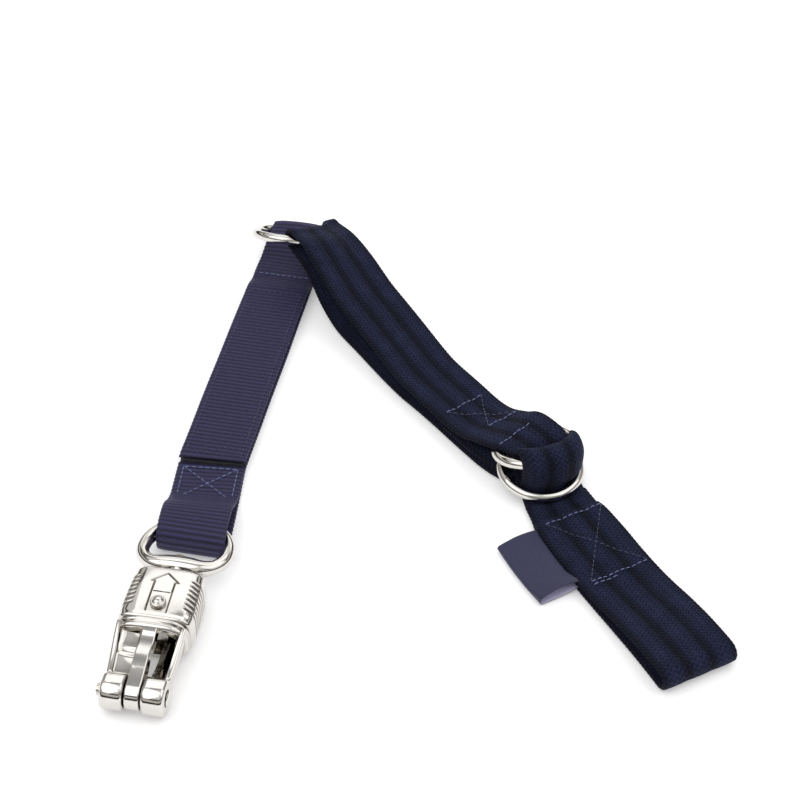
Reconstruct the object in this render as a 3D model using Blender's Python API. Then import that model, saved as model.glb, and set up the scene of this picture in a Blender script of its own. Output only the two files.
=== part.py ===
"""Horse tie strap: a doubled web with a two-ring adjuster and an end loop, a
hook-and-loop breakaway link on a ring, and a panic snap on a swivel eye.
Units are metres, +Z is up, and the strap lies on the plane z = 0."""
import math

import bmesh
import bpy
from mathutils import Matrix, Vector

MM = 0.001
GAP = 0.3 * MM

# Layout: where the upper ring's web fold lies, and each leg's headings and lengths
FOLD_START = (-46.6 * MM, 113.0 * MM)
COTTON_LEGS = ((-49.0, 12 * MM), (-60.0, 34 * MM), (-57.0, 45 * MM), (-53.0, 48 * MM),
               (-44.0, 16 * MM), (-66.0, 24 * MM), (-62.4, 92 * MM))
NYLON_START = (-82.6 * MM, -58.9 * MM)
NYLON_LEGS = ((84.5, 50 * MM), (78.6, 118 * MM), (76.0, 27 * MM))
SNAP_TOP = (-87.0 * MM, -77.0 * MM)
SNAP_HEADING = -100.3

# Webs
WEB_HALF = 12.5 * MM
TAIL_HALF = 14.8 * MM
COTTON_T = 2.4 * MM
NYLON_T = 1.2 * MM
NECK_HALF = 5.5 * MM
FOLD_NECK = 4.0 * MM
LOOP_NECK = 6.0 * MM
TAIL_S = 179.5 * MM
TAIL_END = 269.5 * MM
LABEL_S = 198.8 * MM
LABEL_LEN = 30.5 * MM
LABEL_OUT = 15.0 * MM
LABEL_T = 1.2 * MM
TAPE_T = 0.8 * MM
TAPE_HALF = 10.5 * MM

# Rings: radius of the wire's centre line, and the wire's radius
RING_R = 14.5 * MM
WIRE_R = 1.9 * MM
UPPER_RING = (-52.6 * MM, 117.1 * MM, 12.5 * MM)
UPPER_RING_TILT = 30.0
UPPER_RING_HEADING = 80.0
ADJUSTER_S = 158.5 * MM
RING_2_Z = 6.3 * MM
RING_2_TILT = -5.3
RING_1_Z = 12.4 * MM
RING_1_TILT = 18.0
RING_1_SETBACK = 5.4 * MM

# Panic snap, along its axis from the sleeve's upper end
AXIS_Z = 9.0 * MM
SLEEVE_LEN = 22.5 * MM
SLEEVE_HALF_W = 12.0 * MM
SLEEVE_HALF_H = 8.8 * MM
SLEEVE_WALL = 1.8 * MM
PIN_V = 50.0 * MM
PIN_Z = 7.2 * MM
PIN_R = 1.9 * MM
KNUCKLE_R = 5.9 * MM
KNUCKLE_IN = 3.1 * MM
KNUCKLE_OUT = 11.0 * MM
GATE_HALF = 2.75 * MM
EYE_WIRE_R = 2.4 * MM
EYE_ARC_R = 15.4 * MM
EYE_TILT = 9.0
EYE_BASE_V = -5.0 * MM
EYE_FAR_V = -33.1 * MM
RAIL_IN = 5.6 * MM
SADDLE_Z = 5.0 * MM
RAIL_OUT = 11.2 * MM


def clear_scene():
    for obj in list(bpy.data.objects):
        bpy.data.objects.remove(obj, do_unlink=True)


def material(name, colour, roughness, metallic):
    mat = bpy.data.materials.get(name)
    if mat is None:
        mat = bpy.data.materials.new(name)
        mat.use_nodes = True
        shader = mat.node_tree.nodes["Principled BSDF"]
        shader.inputs["Base Color"].default_value = (*colour, 1.0)
        shader.inputs["Roughness"].default_value = roughness
        shader.inputs["Metallic"].default_value = metallic
    return mat


def cotton():
    return material("cotton_web", (0.020, 0.024, 0.060), 0.85, 0.0)


def nylon():
    return material("nylon_web", (0.045, 0.040, 0.125), 0.6, 0.0)


def tape():
    return material("hook_and_loop_tape", (0.012, 0.012, 0.016), 0.9, 0.0)


def thread():
    return material("stitching_thread", (0.12, 0.16, 0.40), 0.6, 0.0)


def nickel():
    return material("nickel_plate", (0.80, 0.78, 0.74), 0.15, 1.0)


def add_mesh(name, bm, mat, parent=None, smooth_angle=None):
    bmesh.ops.recalc_face_normals(bm, faces=bm.faces)
    mesh = bpy.data.meshes.new(name)
    bm.to_mesh(mesh)
    bm.free()
    if smooth_angle is not None:
        mesh.shade_smooth()
        mesh.set_sharp_from_angle(angle=math.radians(smooth_angle))
    obj = bpy.data.objects.new(name, mesh)
    bpy.context.scene.collection.objects.link(obj)
    obj.data.materials.append(mat)
    if parent is not None:
        obj.parent = parent
    return obj


def frame_empty(name, location, yaw=0.0, tilt=0.0):
    """An empty whose +Y runs along the heading; tilt raises its -Y side."""
    empty = bpy.data.objects.new(name, None)
    bpy.context.scene.collection.objects.link(empty)
    empty.location = location
    empty.rotation_euler = (Matrix.Rotation(math.radians(yaw), 4, "Z")
                            @ Matrix.Rotation(math.radians(tilt), 4, "X")).to_euler()
    return empty


# ---- ground lines: the path that a leg of web follows on the plane ----

def ground_line(start, legs, step=1.0 * MM, blend=8.0 * MM):
    """Points (x, y, heading) every step, with headings blended at each corner."""
    total = sum(length for _, length in legs)
    corners = []
    travelled = 0.0
    for index in range(1, len(legs)):
        travelled += legs[index - 1][1]
        corners.append((travelled, legs[index - 1][0], legs[index][0]))
    x, y = start
    line = []
    count = int(round(total / step))
    for index in range(count + 1):
        s = index * step
        heading = legs[0][0]
        for where, before, after in corners:
            t = min(max((s - where) / blend + 0.5, 0.0), 1.0)
            heading += (after - before) * t * t * (3 - 2 * t)
        line.append((x, y, heading))
        x += math.cos(math.radians(heading)) * step
        y += math.sin(math.radians(heading)) * step
    return line


def at(line, s, step=1.0 * MM):
    """The point (x, y, heading) at distance s, straight past both ends."""
    place = s / step
    index = min(max(int(math.floor(place)), 0), len(line) - 2)
    t = place - index
    a = line[index]
    b = line[index + 1]
    return tuple(a[i] + (b[i] - a[i]) * t for i in range(3))


def bend(s, z, radius, start, end, half, steps=8):
    """An arc of a web's side profile about (s, z), from one angle to another."""
    points = []
    for index in range(steps + 1):
        angle = math.radians(start + (end - start) * index / steps)
        points.append((s + radius * math.cos(angle), z + radius * math.sin(angle), half))
    return points


def run(*points):
    """A smooth curve through profile points (s, z, half width) that never sags below them."""
    out = []
    for index in range(len(points) - 1):
        p0 = points[max(index - 1, 0)]
        p1 = points[index]
        p2 = points[index + 1]
        p3 = points[min(index + 2, len(points) - 1)]
        length = math.hypot(p2[0] - p1[0], p2[1] - p1[1])
        pieces = max(2, int(length / (9 * MM)))
        for step in range(pieces):
            t = step / pieces
            s, z, half = (0.5 * (2 * p1[i] + (p2[i] - p0[i]) * t
                                 + (2 * p0[i] - 5 * p1[i] + 4 * p2[i] - p3[i]) * t * t
                                 + (3 * p1[i] - p0[i] - 3 * p2[i] + p3[i]) * t ** 3)
                          for i in range(3))
            out.append((s, max(z, min(p1[1], p2[1])), half))
    out.append(points[-1])
    return out


def web(name, line, profile, thickness, mat, parent=None):
    """A closed strip of web along a side profile of (s, z, half width)."""
    bm = bmesh.new()
    rows = []
    count = len(profile)
    for index, (s, z, half) in enumerate(profile):
        before = profile[max(index - 1, 0)]
        after = profile[min(index + 1, count - 1)]
        ds = after[0] - before[0]
        dz = after[1] - before[1]
        size = math.hypot(ds, dz)
        normal = (-dz / size, ds / size)
        row = []
        for face in (0.5, -0.5):
            px, py, heading = at(line, s + normal[0] * thickness * face)
            height = z + normal[1] * thickness * face
            lateral = (-math.sin(math.radians(heading)), math.cos(math.radians(heading)))
            for side in ((1.0, -1.0) if face > 0 else (-1.0, 1.0)):
                row.append(bm.verts.new((px + lateral[0] * half * side,
                                         py + lateral[1] * half * side, height)))
        rows.append(row)
    for first, second in zip(rows, rows[1:]):
        for corner in range(4):
            following = (corner + 1) % 4
            bm.faces.new((first[corner], first[following], second[following], second[corner]))
    bm.faces.new(rows[0])
    bm.faces.new(list(reversed(rows[-1])))
    return add_mesh(name, bm, mat, parent)


def ring(name, location, heading, tilt):
    """A round wire ring whose far side along the heading is raised by tilt."""
    bpy.ops.mesh.primitive_torus_add(major_radius=RING_R, minor_radius=WIRE_R,
                                     major_segments=36, minor_segments=10)
    obj = bpy.context.active_object
    obj.name = name
    obj.location = location
    obj.rotation_euler = (Matrix.Rotation(math.radians(heading - 90), 4, "Z")
                          @ Matrix.Rotation(math.radians(tilt), 4, "X")).to_euler()
    obj.data.shade_smooth()
    obj.data.materials.append(nickel())
    return obj


# ---- primitives used by the snap, in the snap's own frame ----

def box_bm(bm, low, high):
    verts = [bm.verts.new((x, y, z)) for x in (low[0], high[0])
             for y in (low[1], high[1]) for z in (low[2], high[2])]
    for quad in ((0, 1, 3, 2), (4, 6, 7, 5), (0, 4, 5, 1), (2, 3, 7, 6), (0, 2, 6, 4), (1, 5, 7, 3)):
        bm.faces.new([verts[i] for i in quad])


def extrude_outline(name, outline, axis, low, high, mat, parent, smooth_angle=None):
    """A closed prism: outline points in the other two axes, spanned along axis."""
    bm = bmesh.new()
    rings = []
    for level in (low, high):
        loop = []
        for a, b in outline:
            point = [a, b]
            point.insert(axis, level)
            loop.append(bm.verts.new(point))
        rings.append(loop)
    count = len(outline)
    for index in range(count):
        following = (index + 1) % count
        bm.faces.new((rings[0][index], rings[0][following], rings[1][following], rings[1][index]))
    bm.faces.new(list(reversed(rings[0])))
    bm.faces.new(rings[1])
    return add_mesh(name, bm, mat, parent, smooth_angle)


def circle(radius, centre=(0.0, 0.0), count=28):
    return [(centre[0] + radius * math.cos(2 * math.pi * i / count),
             centre[1] + radius * math.sin(2 * math.pi * i / count)) for i in range(count)]


def rounded(half_w, half_h, power=3.2, count=32, centre=(0.0, 0.0)):
    """A superellipse outline."""
    points = []
    for index in range(count):
        angle = 2 * math.pi * (index + 0.5) / count
        c = math.cos(angle)
        s = math.sin(angle)
        points.append((centre[0] + half_w * math.copysign(abs(c) ** (2 / power), c),
                       centre[1] + half_h * math.copysign(abs(s) ** (2 / power), s)))
    return points


def boolean(target, tool, operation):
    mod = target.modifiers.new(operation.lower(), "BOOLEAN")
    mod.operation = operation
    mod.object = tool
    tool.hide_render = True
    tool.display_type = "WIRE"


# ---- webs ----

def cotton_webs():
    """The doubled cotton web from the upper ring to the adjuster rings."""
    line = ground_line(FOLD_START, COTTON_LEGS)
    half_t = COTTON_T / 2
    turn_r = 6.2 * MM
    fold_s = 6.8 * MM
    wire_z = 16.7 * MM
    low_z = wire_z - turn_r
    high_z = wire_z + turn_r
    fold = [(fold_s + 5 * MM, high_z, FOLD_NECK)]
    fold += bend(fold_s, wire_z, turn_r, 90, 270, FOLD_NECK)
    fold += [(fold_s + 5 * MM, low_z, FOLD_NECK)]
    web("cotton_ring_fold", line, fold, COTTON_T, cotton())
    top = run((fold_s + 5.4 * MM, high_z, FOLD_NECK),
              (18 * MM, high_z - 0.6 * MM, 8.5 * MM),
              (28 * MM, 20.6 * MM, WEB_HALF),
              (45 * MM, 16.4 * MM, WEB_HALF),
              (70 * MM, 11.0 * MM, WEB_HALF),
              (95 * MM, 7.6 * MM, WEB_HALF),
              (ADJUSTER_S - 45 * MM, 7.2 * MM, WEB_HALF))
    web("cotton_upper_layer", line, top, COTTON_T, cotton())
    lower = run((fold_s + 5.4 * MM, low_z, FOLD_NECK),
                (18 * MM, low_z - 1.6 * MM, 8.5 * MM),
                (28 * MM, 7.2 * MM, WEB_HALF),
                (42 * MM, 2.6 * MM, WEB_HALF),
                (54 * MM, half_t, WEB_HALF),
                (62 * MM, half_t, WEB_HALF),
                (100 * MM, half_t, WEB_HALF),
                (ADJUSTER_S - 16 * MM, half_t, WEB_HALF))
    web("cotton_lower_layer", line, lower, COTTON_T, cotton())
    fixed_loop(line)
    roll(line)
    return line


def fixed_loop(line):
    """The web's sewn end, looped round the far wires of both adjuster rings."""
    place = ADJUSTER_S
    back_z = 3.9 * MM
    loop_r = 4.9 * MM
    centre_s = place - 7.6 * MM
    sewn = run((place - 44.7 * MM, 7.2 * MM, WEB_HALF),
               (place - 36 * MM, 7.2 * MM, WEB_HALF),
               (place - 30 * MM, 7.4 * MM, WEB_HALF),
               (place - 26 * MM, 9.6 * MM, WEB_HALF),
               (place - 22 * MM, 12.0 * MM, LOOP_NECK),
               (place - 15 * MM, 13.7 * MM, LOOP_NECK))
    sewn += bend(centre_s, back_z + loop_r, loop_r, 80, -90, LOOP_NECK)
    sewn += [(place - 14 * MM, back_z, LOOP_NECK), (place - 22 * MM, back_z, LOOP_NECK),
             (place - 27 * MM, back_z, WEB_HALF), (place - 41 * MM, back_z, WEB_HALF)]
    web("cotton_fixed_loop", line, sewn, COTTON_T, cotton())


def roll(line):
    """The web's free run: up through both rings, over one wire and under the other."""
    place = ADJUSTER_S
    half_t = COTTON_T / 2
    lean = math.radians(RING_1_TILT)
    wire_s = place - RING_1_SETBACK + RING_R * math.cos(lean) - 0.5 * MM
    wire_z = RING_1_Z + RING_R * math.sin(lean)
    roll_r = WIRE_R + 1.4 * MM + half_t
    over = run((place - 15.7 * MM, half_t, WEB_HALF), (place - 9 * MM, half_t, LOOP_NECK),
               (place - 2.5 * MM, half_t + 0.2 * MM, LOOP_NECK),
               (place + 2.2 * MM, 5.0 * MM, LOOP_NECK),
               (wire_s - roll_r - 0.2 * MM, wire_z - 4 * MM, LOOP_NECK))
    over += bend(wire_s, wire_z, roll_r, 175, 5, LOOP_NECK)
    over += run((wire_s + roll_r - 1.0 * MM, wire_z - 4 * MM, LOOP_NECK),
                (place + 8.9 * MM, 6.4 * MM, LOOP_NECK), (place + 9.6 * MM, 2.8 * MM, LOOP_NECK),
                (place + 13.2 * MM, half_t, LOOP_NECK), (TAIL_S, half_t, WEB_HALF))
    web("cotton_roll", line, over, COTTON_T, cotton())


def tail(line):
    """The tail with its sewn end loop, hinged where it leaves the adjuster."""
    half_t = COTTON_T / 2
    top_z = half_t + COTTON_T + 0.3 * MM
    loop_r = 3.4 * MM
    start = TAIL_S + GAP
    single = run((start, half_t, WEB_HALF), (194 * MM, half_t, TAIL_HALF),
                 (226 * MM, half_t, TAIL_HALF), (TAIL_END - loop_r - 30 * MM, half_t, TAIL_HALF),
                 (TAIL_END - loop_r - 8 * MM, half_t, TAIL_HALF))
    single += bend(TAIL_END - loop_r - half_t, half_t + loop_r, loop_r, -90, 90, TAIL_HALF)
    single += [(TAIL_END - loop_r - 14 * MM, half_t + 2 * loop_r, TAIL_HALF)]
    single += [(TAIL_END - 28 * MM, half_t + 2 * loop_r - 0.4 * MM, TAIL_HALF)]
    single += run((TAIL_END - 44 * MM, top_z, TAIL_HALF), (206 * MM, top_z, TAIL_HALF),
                  (181.5 * MM, top_z, WEB_HALF))
    web("cotton_tail", line, single, COTTON_T, cotton())


def stitch_frame(name, line, s0, s1, half, z):
    """Box stitching as a thin closed frame that lies on the web."""
    inset = 0.9 * MM
    height = 0.35 * MM
    bm = bmesh.new()
    steps = 6
    loops = []
    for shrink, level in ((0.0, 0.0), (inset, 0.0), (inset, height), (0.0, height)):
        outline = []
        for lateral in (-1, 1):
            span = [s0 + shrink + (s1 - s0 - 2 * shrink) * i / steps for i in range(steps + 1)]
            if lateral > 0:
                span.reverse()
            for s in span:
                px, py, heading = at(line, s)
                angle = math.radians(heading + 90)
                reach = lateral * (half - shrink)
                outline.append(bm.verts.new((px + math.cos(angle) * reach,
                                             py + math.sin(angle) * reach, z + level)))
        loops.append(outline)
    count = len(loops[0])
    for first, second in zip(loops, loops[1:] + loops[:1]):
        for index in range(count):
            following = (index + 1) % count
            bm.faces.new((first[index], first[following], second[following], second[index]))
    return add_mesh(name, bm, thread())


def nylon_webs():
    """The breakaway strap: ring loop, flap, tapes and the lower strap with its eye loop."""
    line = ground_line(NYLON_START, NYLON_LEGS)
    half_t = NYLON_T / 2
    total = sum(length for _, length in NYLON_LEGS)
    wire_z = 5.3 * MM
    turn_r = WIRE_R + 1.5 * MM + half_t
    turn_s = total - turn_r - half_t
    low = run((165 * MM, half_t, WEB_HALF), (174 * MM, half_t, WEB_HALF),
              (182 * MM, half_t, 8 * MM), (turn_s - 3 * MM, wire_z - turn_r, NECK_HALF))
    high = run((turn_s - 3 * MM, wire_z + turn_r, NECK_HALF), (183 * MM, 6.6 * MM, 8 * MM),
               (175 * MM, half_t + NYLON_T + GAP + 0.3 * MM, WEB_HALF),
               (160 * MM, half_t + NYLON_T + GAP, WEB_HALF))
    loop = low + bend(turn_s, wire_z, turn_r, -90, 90, NECK_HALF) + high
    web("nylon_ring_loop", line, loop, NYLON_T, nylon())
    flap_z = half_t + NYLON_T + GAP + 2 * (TAPE_T + GAP)
    flap = run((159.0 * MM, half_t + NYLON_T + GAP, WEB_HALF), (152 * MM, flap_z, WEB_HALF),
               (120 * MM, flap_z, WEB_HALF), (80 * MM, flap_z, WEB_HALF),
               (51.0 * MM, flap_z, WEB_HALF))
    web("nylon_flap", line, flap, NYLON_T, nylon())
    loop_z = NYLON_T + GAP + TAPE_T / 2
    web("loop_tape", line, run((54 * MM, loop_z, TAPE_HALF), (100 * MM, loop_z, TAPE_HALF),
                               (151 * MM, loop_z, TAPE_HALF)), TAPE_T, tape())
    hook_z = loop_z + TAPE_T + GAP
    web("hook_tape", line, run((49.5 * MM, hook_z, TAPE_HALF), (100 * MM, hook_z, TAPE_HALF),
                               (149.5 * MM, hook_z, TAPE_HALF)), TAPE_T, tape())
    eye_z = 4.9 * MM
    eye_r = EYE_WIRE_R + 0.6 * MM + half_t
    strap = run((164.7 * MM, half_t, WEB_HALF), (110 * MM, half_t, WEB_HALF),
                (50 * MM, half_t, WEB_HALF), (28 * MM, half_t, WEB_HALF),
                (21.5 * MM, half_t + 0.1 * MM, NECK_HALF), (10 * MM, 1.1 * MM, NECK_HALF))
    strap += bend(eye_r + half_t, eye_z, eye_r, 268, 92, NECK_HALF)
    strap += run((12 * MM, eye_z + eye_r + GAP, NECK_HALF), (20.5 * MM, 8.9 * MM, NECK_HALF),
                 (26 * MM, 4.6 * MM, 9 * MM), (31.5 * MM, half_t + NYLON_T + GAP, WEB_HALF),
                 (47.5 * MM, half_t + NYLON_T + GAP, WEB_HALF))
    web("nylon_lower_strap", line, strap, NYLON_T, nylon())
    return line, flap_z


# ---- panic snap ----

def snap_frame():
    """The snap's own frame: +Y runs from the eye to the gate hinge, +X across."""
    return frame_empty("snap_frame", (*SNAP_TOP, 0.0), SNAP_HEADING - 90.0)


def snap_eye(root):
    """A D-shaped eye with a boss and a neck that ends in the swivel head."""
    far = EYE_FAR_V + EYE_ARC_R
    base = EYE_BASE_V - EYE_WIRE_R
    corner = 5.0 * MM
    points = []
    for index in range(17):
        angle = math.pi + math.pi * index / 16
        points.append((EYE_ARC_R * math.cos(angle), far + EYE_ARC_R * math.sin(angle)))
    for index in range(1, 6):
        angle = 0.5 * math.pi * index / 5
        points.append((EYE_ARC_R - corner + corner * math.cos(angle),
                       base - corner + corner * math.sin(angle)))
    for index in range(5):
        angle = 0.5 * math.pi + 0.5 * math.pi * index / 5
        points.append((-EYE_ARC_R + corner + corner * math.cos(angle),
                       base - corner + corner * math.sin(angle)))
    slope = math.tan(math.radians(EYE_TILT))
    curve = bpy.data.curves.new("snap_eye_wire", "CURVE")
    curve.dimensions = "3D"
    curve.bevel_depth = EYE_WIRE_R
    curve.bevel_resolution = 2
    spline = curve.splines.new("POLY")
    spline.points.add(len(points) - 1)
    spline.use_cyclic_u = True
    for point, (x, y) in zip(spline.points, points):
        point.co = (x, y, AXIS_Z + (y - base) * slope, 1.0)
    eye = bpy.data.objects.new("snap_eye", curve)
    bpy.context.scene.collection.objects.link(eye)
    depsgraph = bpy.context.evaluated_depsgraph_get()
    mesh = bpy.data.meshes.new_from_object(eye.evaluated_get(depsgraph))
    bpy.data.objects.remove(eye, do_unlink=True)
    eye = bpy.data.objects.new("snap_eye", mesh)
    bpy.context.scene.collection.objects.link(eye)
    eye.parent = root
    mesh.materials.clear()
    mesh.materials.append(nickel())
    mesh.shade_smooth()
    boss = extrude_outline("eye_boss_cutter", rounded(7.2 * MM, 4.0 * MM, 2.4, 24, (0.0, AXIS_Z)),
                           1, base - 1.2 * MM, EYE_BASE_V + 0.4 * MM, nickel(), root)
    boolean(eye, boss, "UNION")
    neck = extrude_outline("eye_neck_cutter", circle(2.6 * MM, (0.0, AXIS_Z), 20),
                           1, base, 3.2 * MM, nickel(), root)
    boolean(eye, neck, "UNION")
    head = extrude_outline("eye_head_cutter", circle(4.2 * MM, (0.0, AXIS_Z), 20),
                           1, 3.0 * MM, 5.4 * MM, nickel(), root)
    boolean(eye, head, "UNION")
    return eye


def snap_body(root):
    """Barrel, stepped collar, two rails and the hinge knuckles, one casting."""
    body = extrude_outline("snap_body", circle(5.6 * MM, (0.0, AXIS_Z)), 1,
                           0.6 * MM, 26.0 * MM, nickel(), root, 40)
    shoulder = extrude_outline("snap_shoulder_cutter",
                               rounded(SLEEVE_HALF_W - SLEEVE_WALL - GAP,
                                       SLEEVE_HALF_H - SLEEVE_WALL - GAP, 3.2, 32, (0.0, AXIS_Z)),
                               1, 14.0 * MM, 25.0 * MM, nickel(), root, 40)
    boolean(body, shoulder, "UNION")
    collar_v = SLEEVE_LEN + GAP
    steps = ((collar_v, 25.4 * MM, 1.0 * MM), (25.2 * MM, 28.4 * MM, 0.2 * MM))
    for index, (low, high, inset) in enumerate(steps):
        step = extrude_outline("snap_collar_cutter_%d" % index,
                               rounded(SLEEVE_HALF_W - inset, SLEEVE_HALF_H - inset - 0.2 * MM,
                                       3.2, 32, (0.0, AXIS_Z)),
                               1, low, high, nickel(), root, 40)
        boolean(body, step, "UNION")
    for side in (-1, 1):
        outline = [(28.0 * MM, 2.2 * MM), (PIN_V, PIN_Z - 4.6 * MM), (PIN_V, PIN_Z + 3.2 * MM),
                   (47.0 * MM, PIN_Z + 2.0 * MM), (44.4 * MM, SADDLE_Z), (31.6 * MM, SADDLE_Z),
                   (29.6 * MM, 13.0 * MM), (28.0 * MM, 14.0 * MM)]
        low = RAIL_IN if side > 0 else -RAIL_OUT
        high = RAIL_OUT if side > 0 else -RAIL_IN
        rail = extrude_outline("snap_rail_cutter_%d" % (side + 1), outline, 0,
                               low, high, nickel(), root)
        boolean(body, rail, "UNION")
        low = KNUCKLE_IN if side > 0 else -KNUCKLE_OUT
        high = KNUCKLE_OUT if side > 0 else -KNUCKLE_IN
        knuckle = extrude_outline("snap_knuckle_cutter_%d" % (side + 1),
                                  circle(KNUCKLE_R, (PIN_V, PIN_Z), 24), 0, low, high,
                                  nickel(), root, 40)
        boolean(body, knuckle, "UNION")
    pocket = extrude_outline("snap_stem_bore_cutter", circle(4.6 * MM, (0.0, AXIS_Z), 20), 1,
                             2.6 * MM, 6.0 * MM, nickel(), root)
    boolean(body, pocket, "DIFFERENCE")
    throat = extrude_outline("snap_throat_cutter", circle(3.0 * MM, (0.0, AXIS_Z), 20), 1,
                             0.0, 3.0 * MM, nickel(), root)
    boolean(body, throat, "DIFFERENCE")
    slot = extrude_outline("snap_gate_slot_cutter",
                           [(22.0 * MM, AXIS_Z - 2.5 * MM), (29.0 * MM, AXIS_Z - 2.5 * MM),
                            (29.0 * MM, 20.0 * MM), (22.0 * MM, 20.0 * MM)], 0,
                           -GATE_HALF - 0.35 * MM, GATE_HALF + 0.35 * MM, nickel(), root)
    boolean(body, slot, "DIFFERENCE")
    bore = extrude_outline("snap_pin_bore_cutter", circle(PIN_R + GAP, (PIN_V, PIN_Z), 20), 0,
                           -15 * MM, 15 * MM, nickel(), root)
    boolean(body, bore, "DIFFERENCE")
    return body


def release_sleeve(root):
    """The oval sleeve that slides towards the eye; its lip holds the gate shut."""
    sleeve = extrude_outline("release_sleeve",
                             rounded(SLEEVE_HALF_W, SLEEVE_HALF_H, 3.2, 36, (0.0, AXIS_Z)),
                             1, 0.0, SLEEVE_LEN, nickel(), root, 40)
    bore = extrude_outline("sleeve_bore_cutter",
                           rounded(SLEEVE_HALF_W - SLEEVE_WALL, SLEEVE_HALF_H - SLEEVE_WALL,
                                   3.2, 32, (0.0, AXIS_Z)),
                           1, 1.6 * MM, SLEEVE_LEN + 1 * MM, nickel(), root)
    boolean(sleeve, bore, "DIFFERENCE")
    throat = extrude_outline("sleeve_throat_cutter", circle(6.0 * MM, (0.0, AXIS_Z)), 1,
                             -1 * MM, 3.0 * MM, nickel(), root)
    boolean(sleeve, throat, "DIFFERENCE")
    return sleeve


def sleeve_spring(root):
    """The coil spring between the sleeve's end wall and the barrel's shoulder."""
    turns = 4
    low = 2.6 * MM
    high = 13.0 * MM
    coil_r = 6.3 * MM
    count = turns * 12
    curve = bpy.data.curves.new("sleeve_spring_wire", "CURVE")
    curve.dimensions = "3D"
    curve.bevel_depth = 0.45 * MM
    curve.bevel_resolution = 1
    curve.use_fill_caps = True
    spline = curve.splines.new("POLY")
    spline.points.add(count)
    for index in range(count + 1):
        angle = 2 * math.pi * index / 12
        spline.points[index].co = (coil_r * math.cos(angle), low + (high - low) * index / count,
                                   AXIS_Z + coil_r * math.sin(angle), 1.0)
    spring = bpy.data.objects.new("sleeve_spring", curve)
    bpy.context.scene.collection.objects.link(spring)
    spring.parent = root
    spring.data.materials.append(material("spring_wire", (0.35, 0.35, 0.36), 0.35, 1.0))
    return spring


def guide_button(root):
    """The domed button on the sleeve's upper face."""
    profile = ((0.0, 1.5), (1.1, 1.35), (2.0, 0.8), (2.4, 0.0))
    bm = bmesh.new()
    rows = []
    base_z = AXIS_Z + SLEEVE_HALF_H + GAP
    for radius, height in profile[1:]:
        rows.append([bm.verts.new((radius * MM * math.cos(2 * math.pi * i / 20),
                                   17.0 * MM + radius * MM * math.sin(2 * math.pi * i / 20),
                                   base_z + height * MM)) for i in range(20)])
    top = bm.verts.new((0.0, 17.0 * MM, base_z + profile[0][1] * MM))
    for i in range(20):
        j = (i + 1) % 20
        bm.faces.new((top, rows[0][i], rows[0][j]))
        for a, b in zip(rows, rows[1:]):
            bm.faces.new((a[i], b[i], b[j], a[j]))
    bm.faces.new(list(reversed(rows[-1])))
    return add_mesh("guide_button", bm, nickel(), root, 40)


def gate(root):
    """The hinged gate arm, held shut by the sleeve's lip."""
    hinge = frame_empty("gate_frame", (0.0, PIN_V, PIN_Z))
    hinge.parent = root
    tip_v = SLEEVE_LEN + 2 * GAP - PIN_V
    top = AXIS_Z + SLEEVE_HALF_H - 1.2 * MM - PIN_Z
    outline = [(tip_v, top), (tip_v + 6.0 * MM, top), (-17.0 * MM, top - 1.2 * MM),
               (-8.0 * MM, 7.4 * MM), (-2.0 * MM, 5.6 * MM), (2.6 * MM, 5.0 * MM),
               (5.0 * MM, 2.4 * MM), (5.4 * MM, 0.0), (4.4 * MM, -3.2 * MM),
               (1.6 * MM, -5.2 * MM), (-2.4 * MM, -4.8 * MM), (-4.8 * MM, -2.2 * MM),
               (-6.4 * MM, 1.6 * MM), (-12.0 * MM, 4.2 * MM), (-19.0 * MM, top - 5.2 * MM),
               (tip_v + 4.0 * MM, top - 4.2 * MM), (tip_v, top - 3.6 * MM)]
    arm = extrude_outline("gate", outline, 0, -GATE_HALF, GATE_HALF, nickel(), hinge)
    bore = extrude_outline("gate_bore_cutter", circle(PIN_R + GAP, count=20), 0,
                           -5 * MM, 5 * MM, nickel(), hinge)
    boolean(arm, bore, "DIFFERENCE")
    return arm


def hinge_pin(root):
    pin = extrude_outline("hinge_pin", circle(PIN_R, (PIN_V, PIN_Z), 20), 0,
                          -12.6 * MM, 12.0 * MM, nickel(), root, 40)
    head = extrude_outline("pin_head_cutter", circle(2.9 * MM, (PIN_V, PIN_Z), 20), 0,
                           -12.8 * MM, -11.4 * MM, nickel(), root, 40)
    boolean(pin, head, "UNION")
    return pin


def label(line):
    """The folded tag sewn into the tail's left edge."""
    px, py, heading = at(line, LABEL_S)
    holder = frame_empty("label_frame", (px, py, 0.0), heading)
    tag = material("label_cloth", (0.03, 0.05, 0.16), 0.7, 0.0)
    seam = -TAIL_HALF - GAP
    bm = bmesh.new()
    box_bm(bm, (-LABEL_LEN / 2, seam - LABEL_OUT, COTTON_T),
           (LABEL_LEN / 2, seam, COTTON_T + LABEL_T))
    return add_mesh("label_tag", bm, tag, holder)


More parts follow.
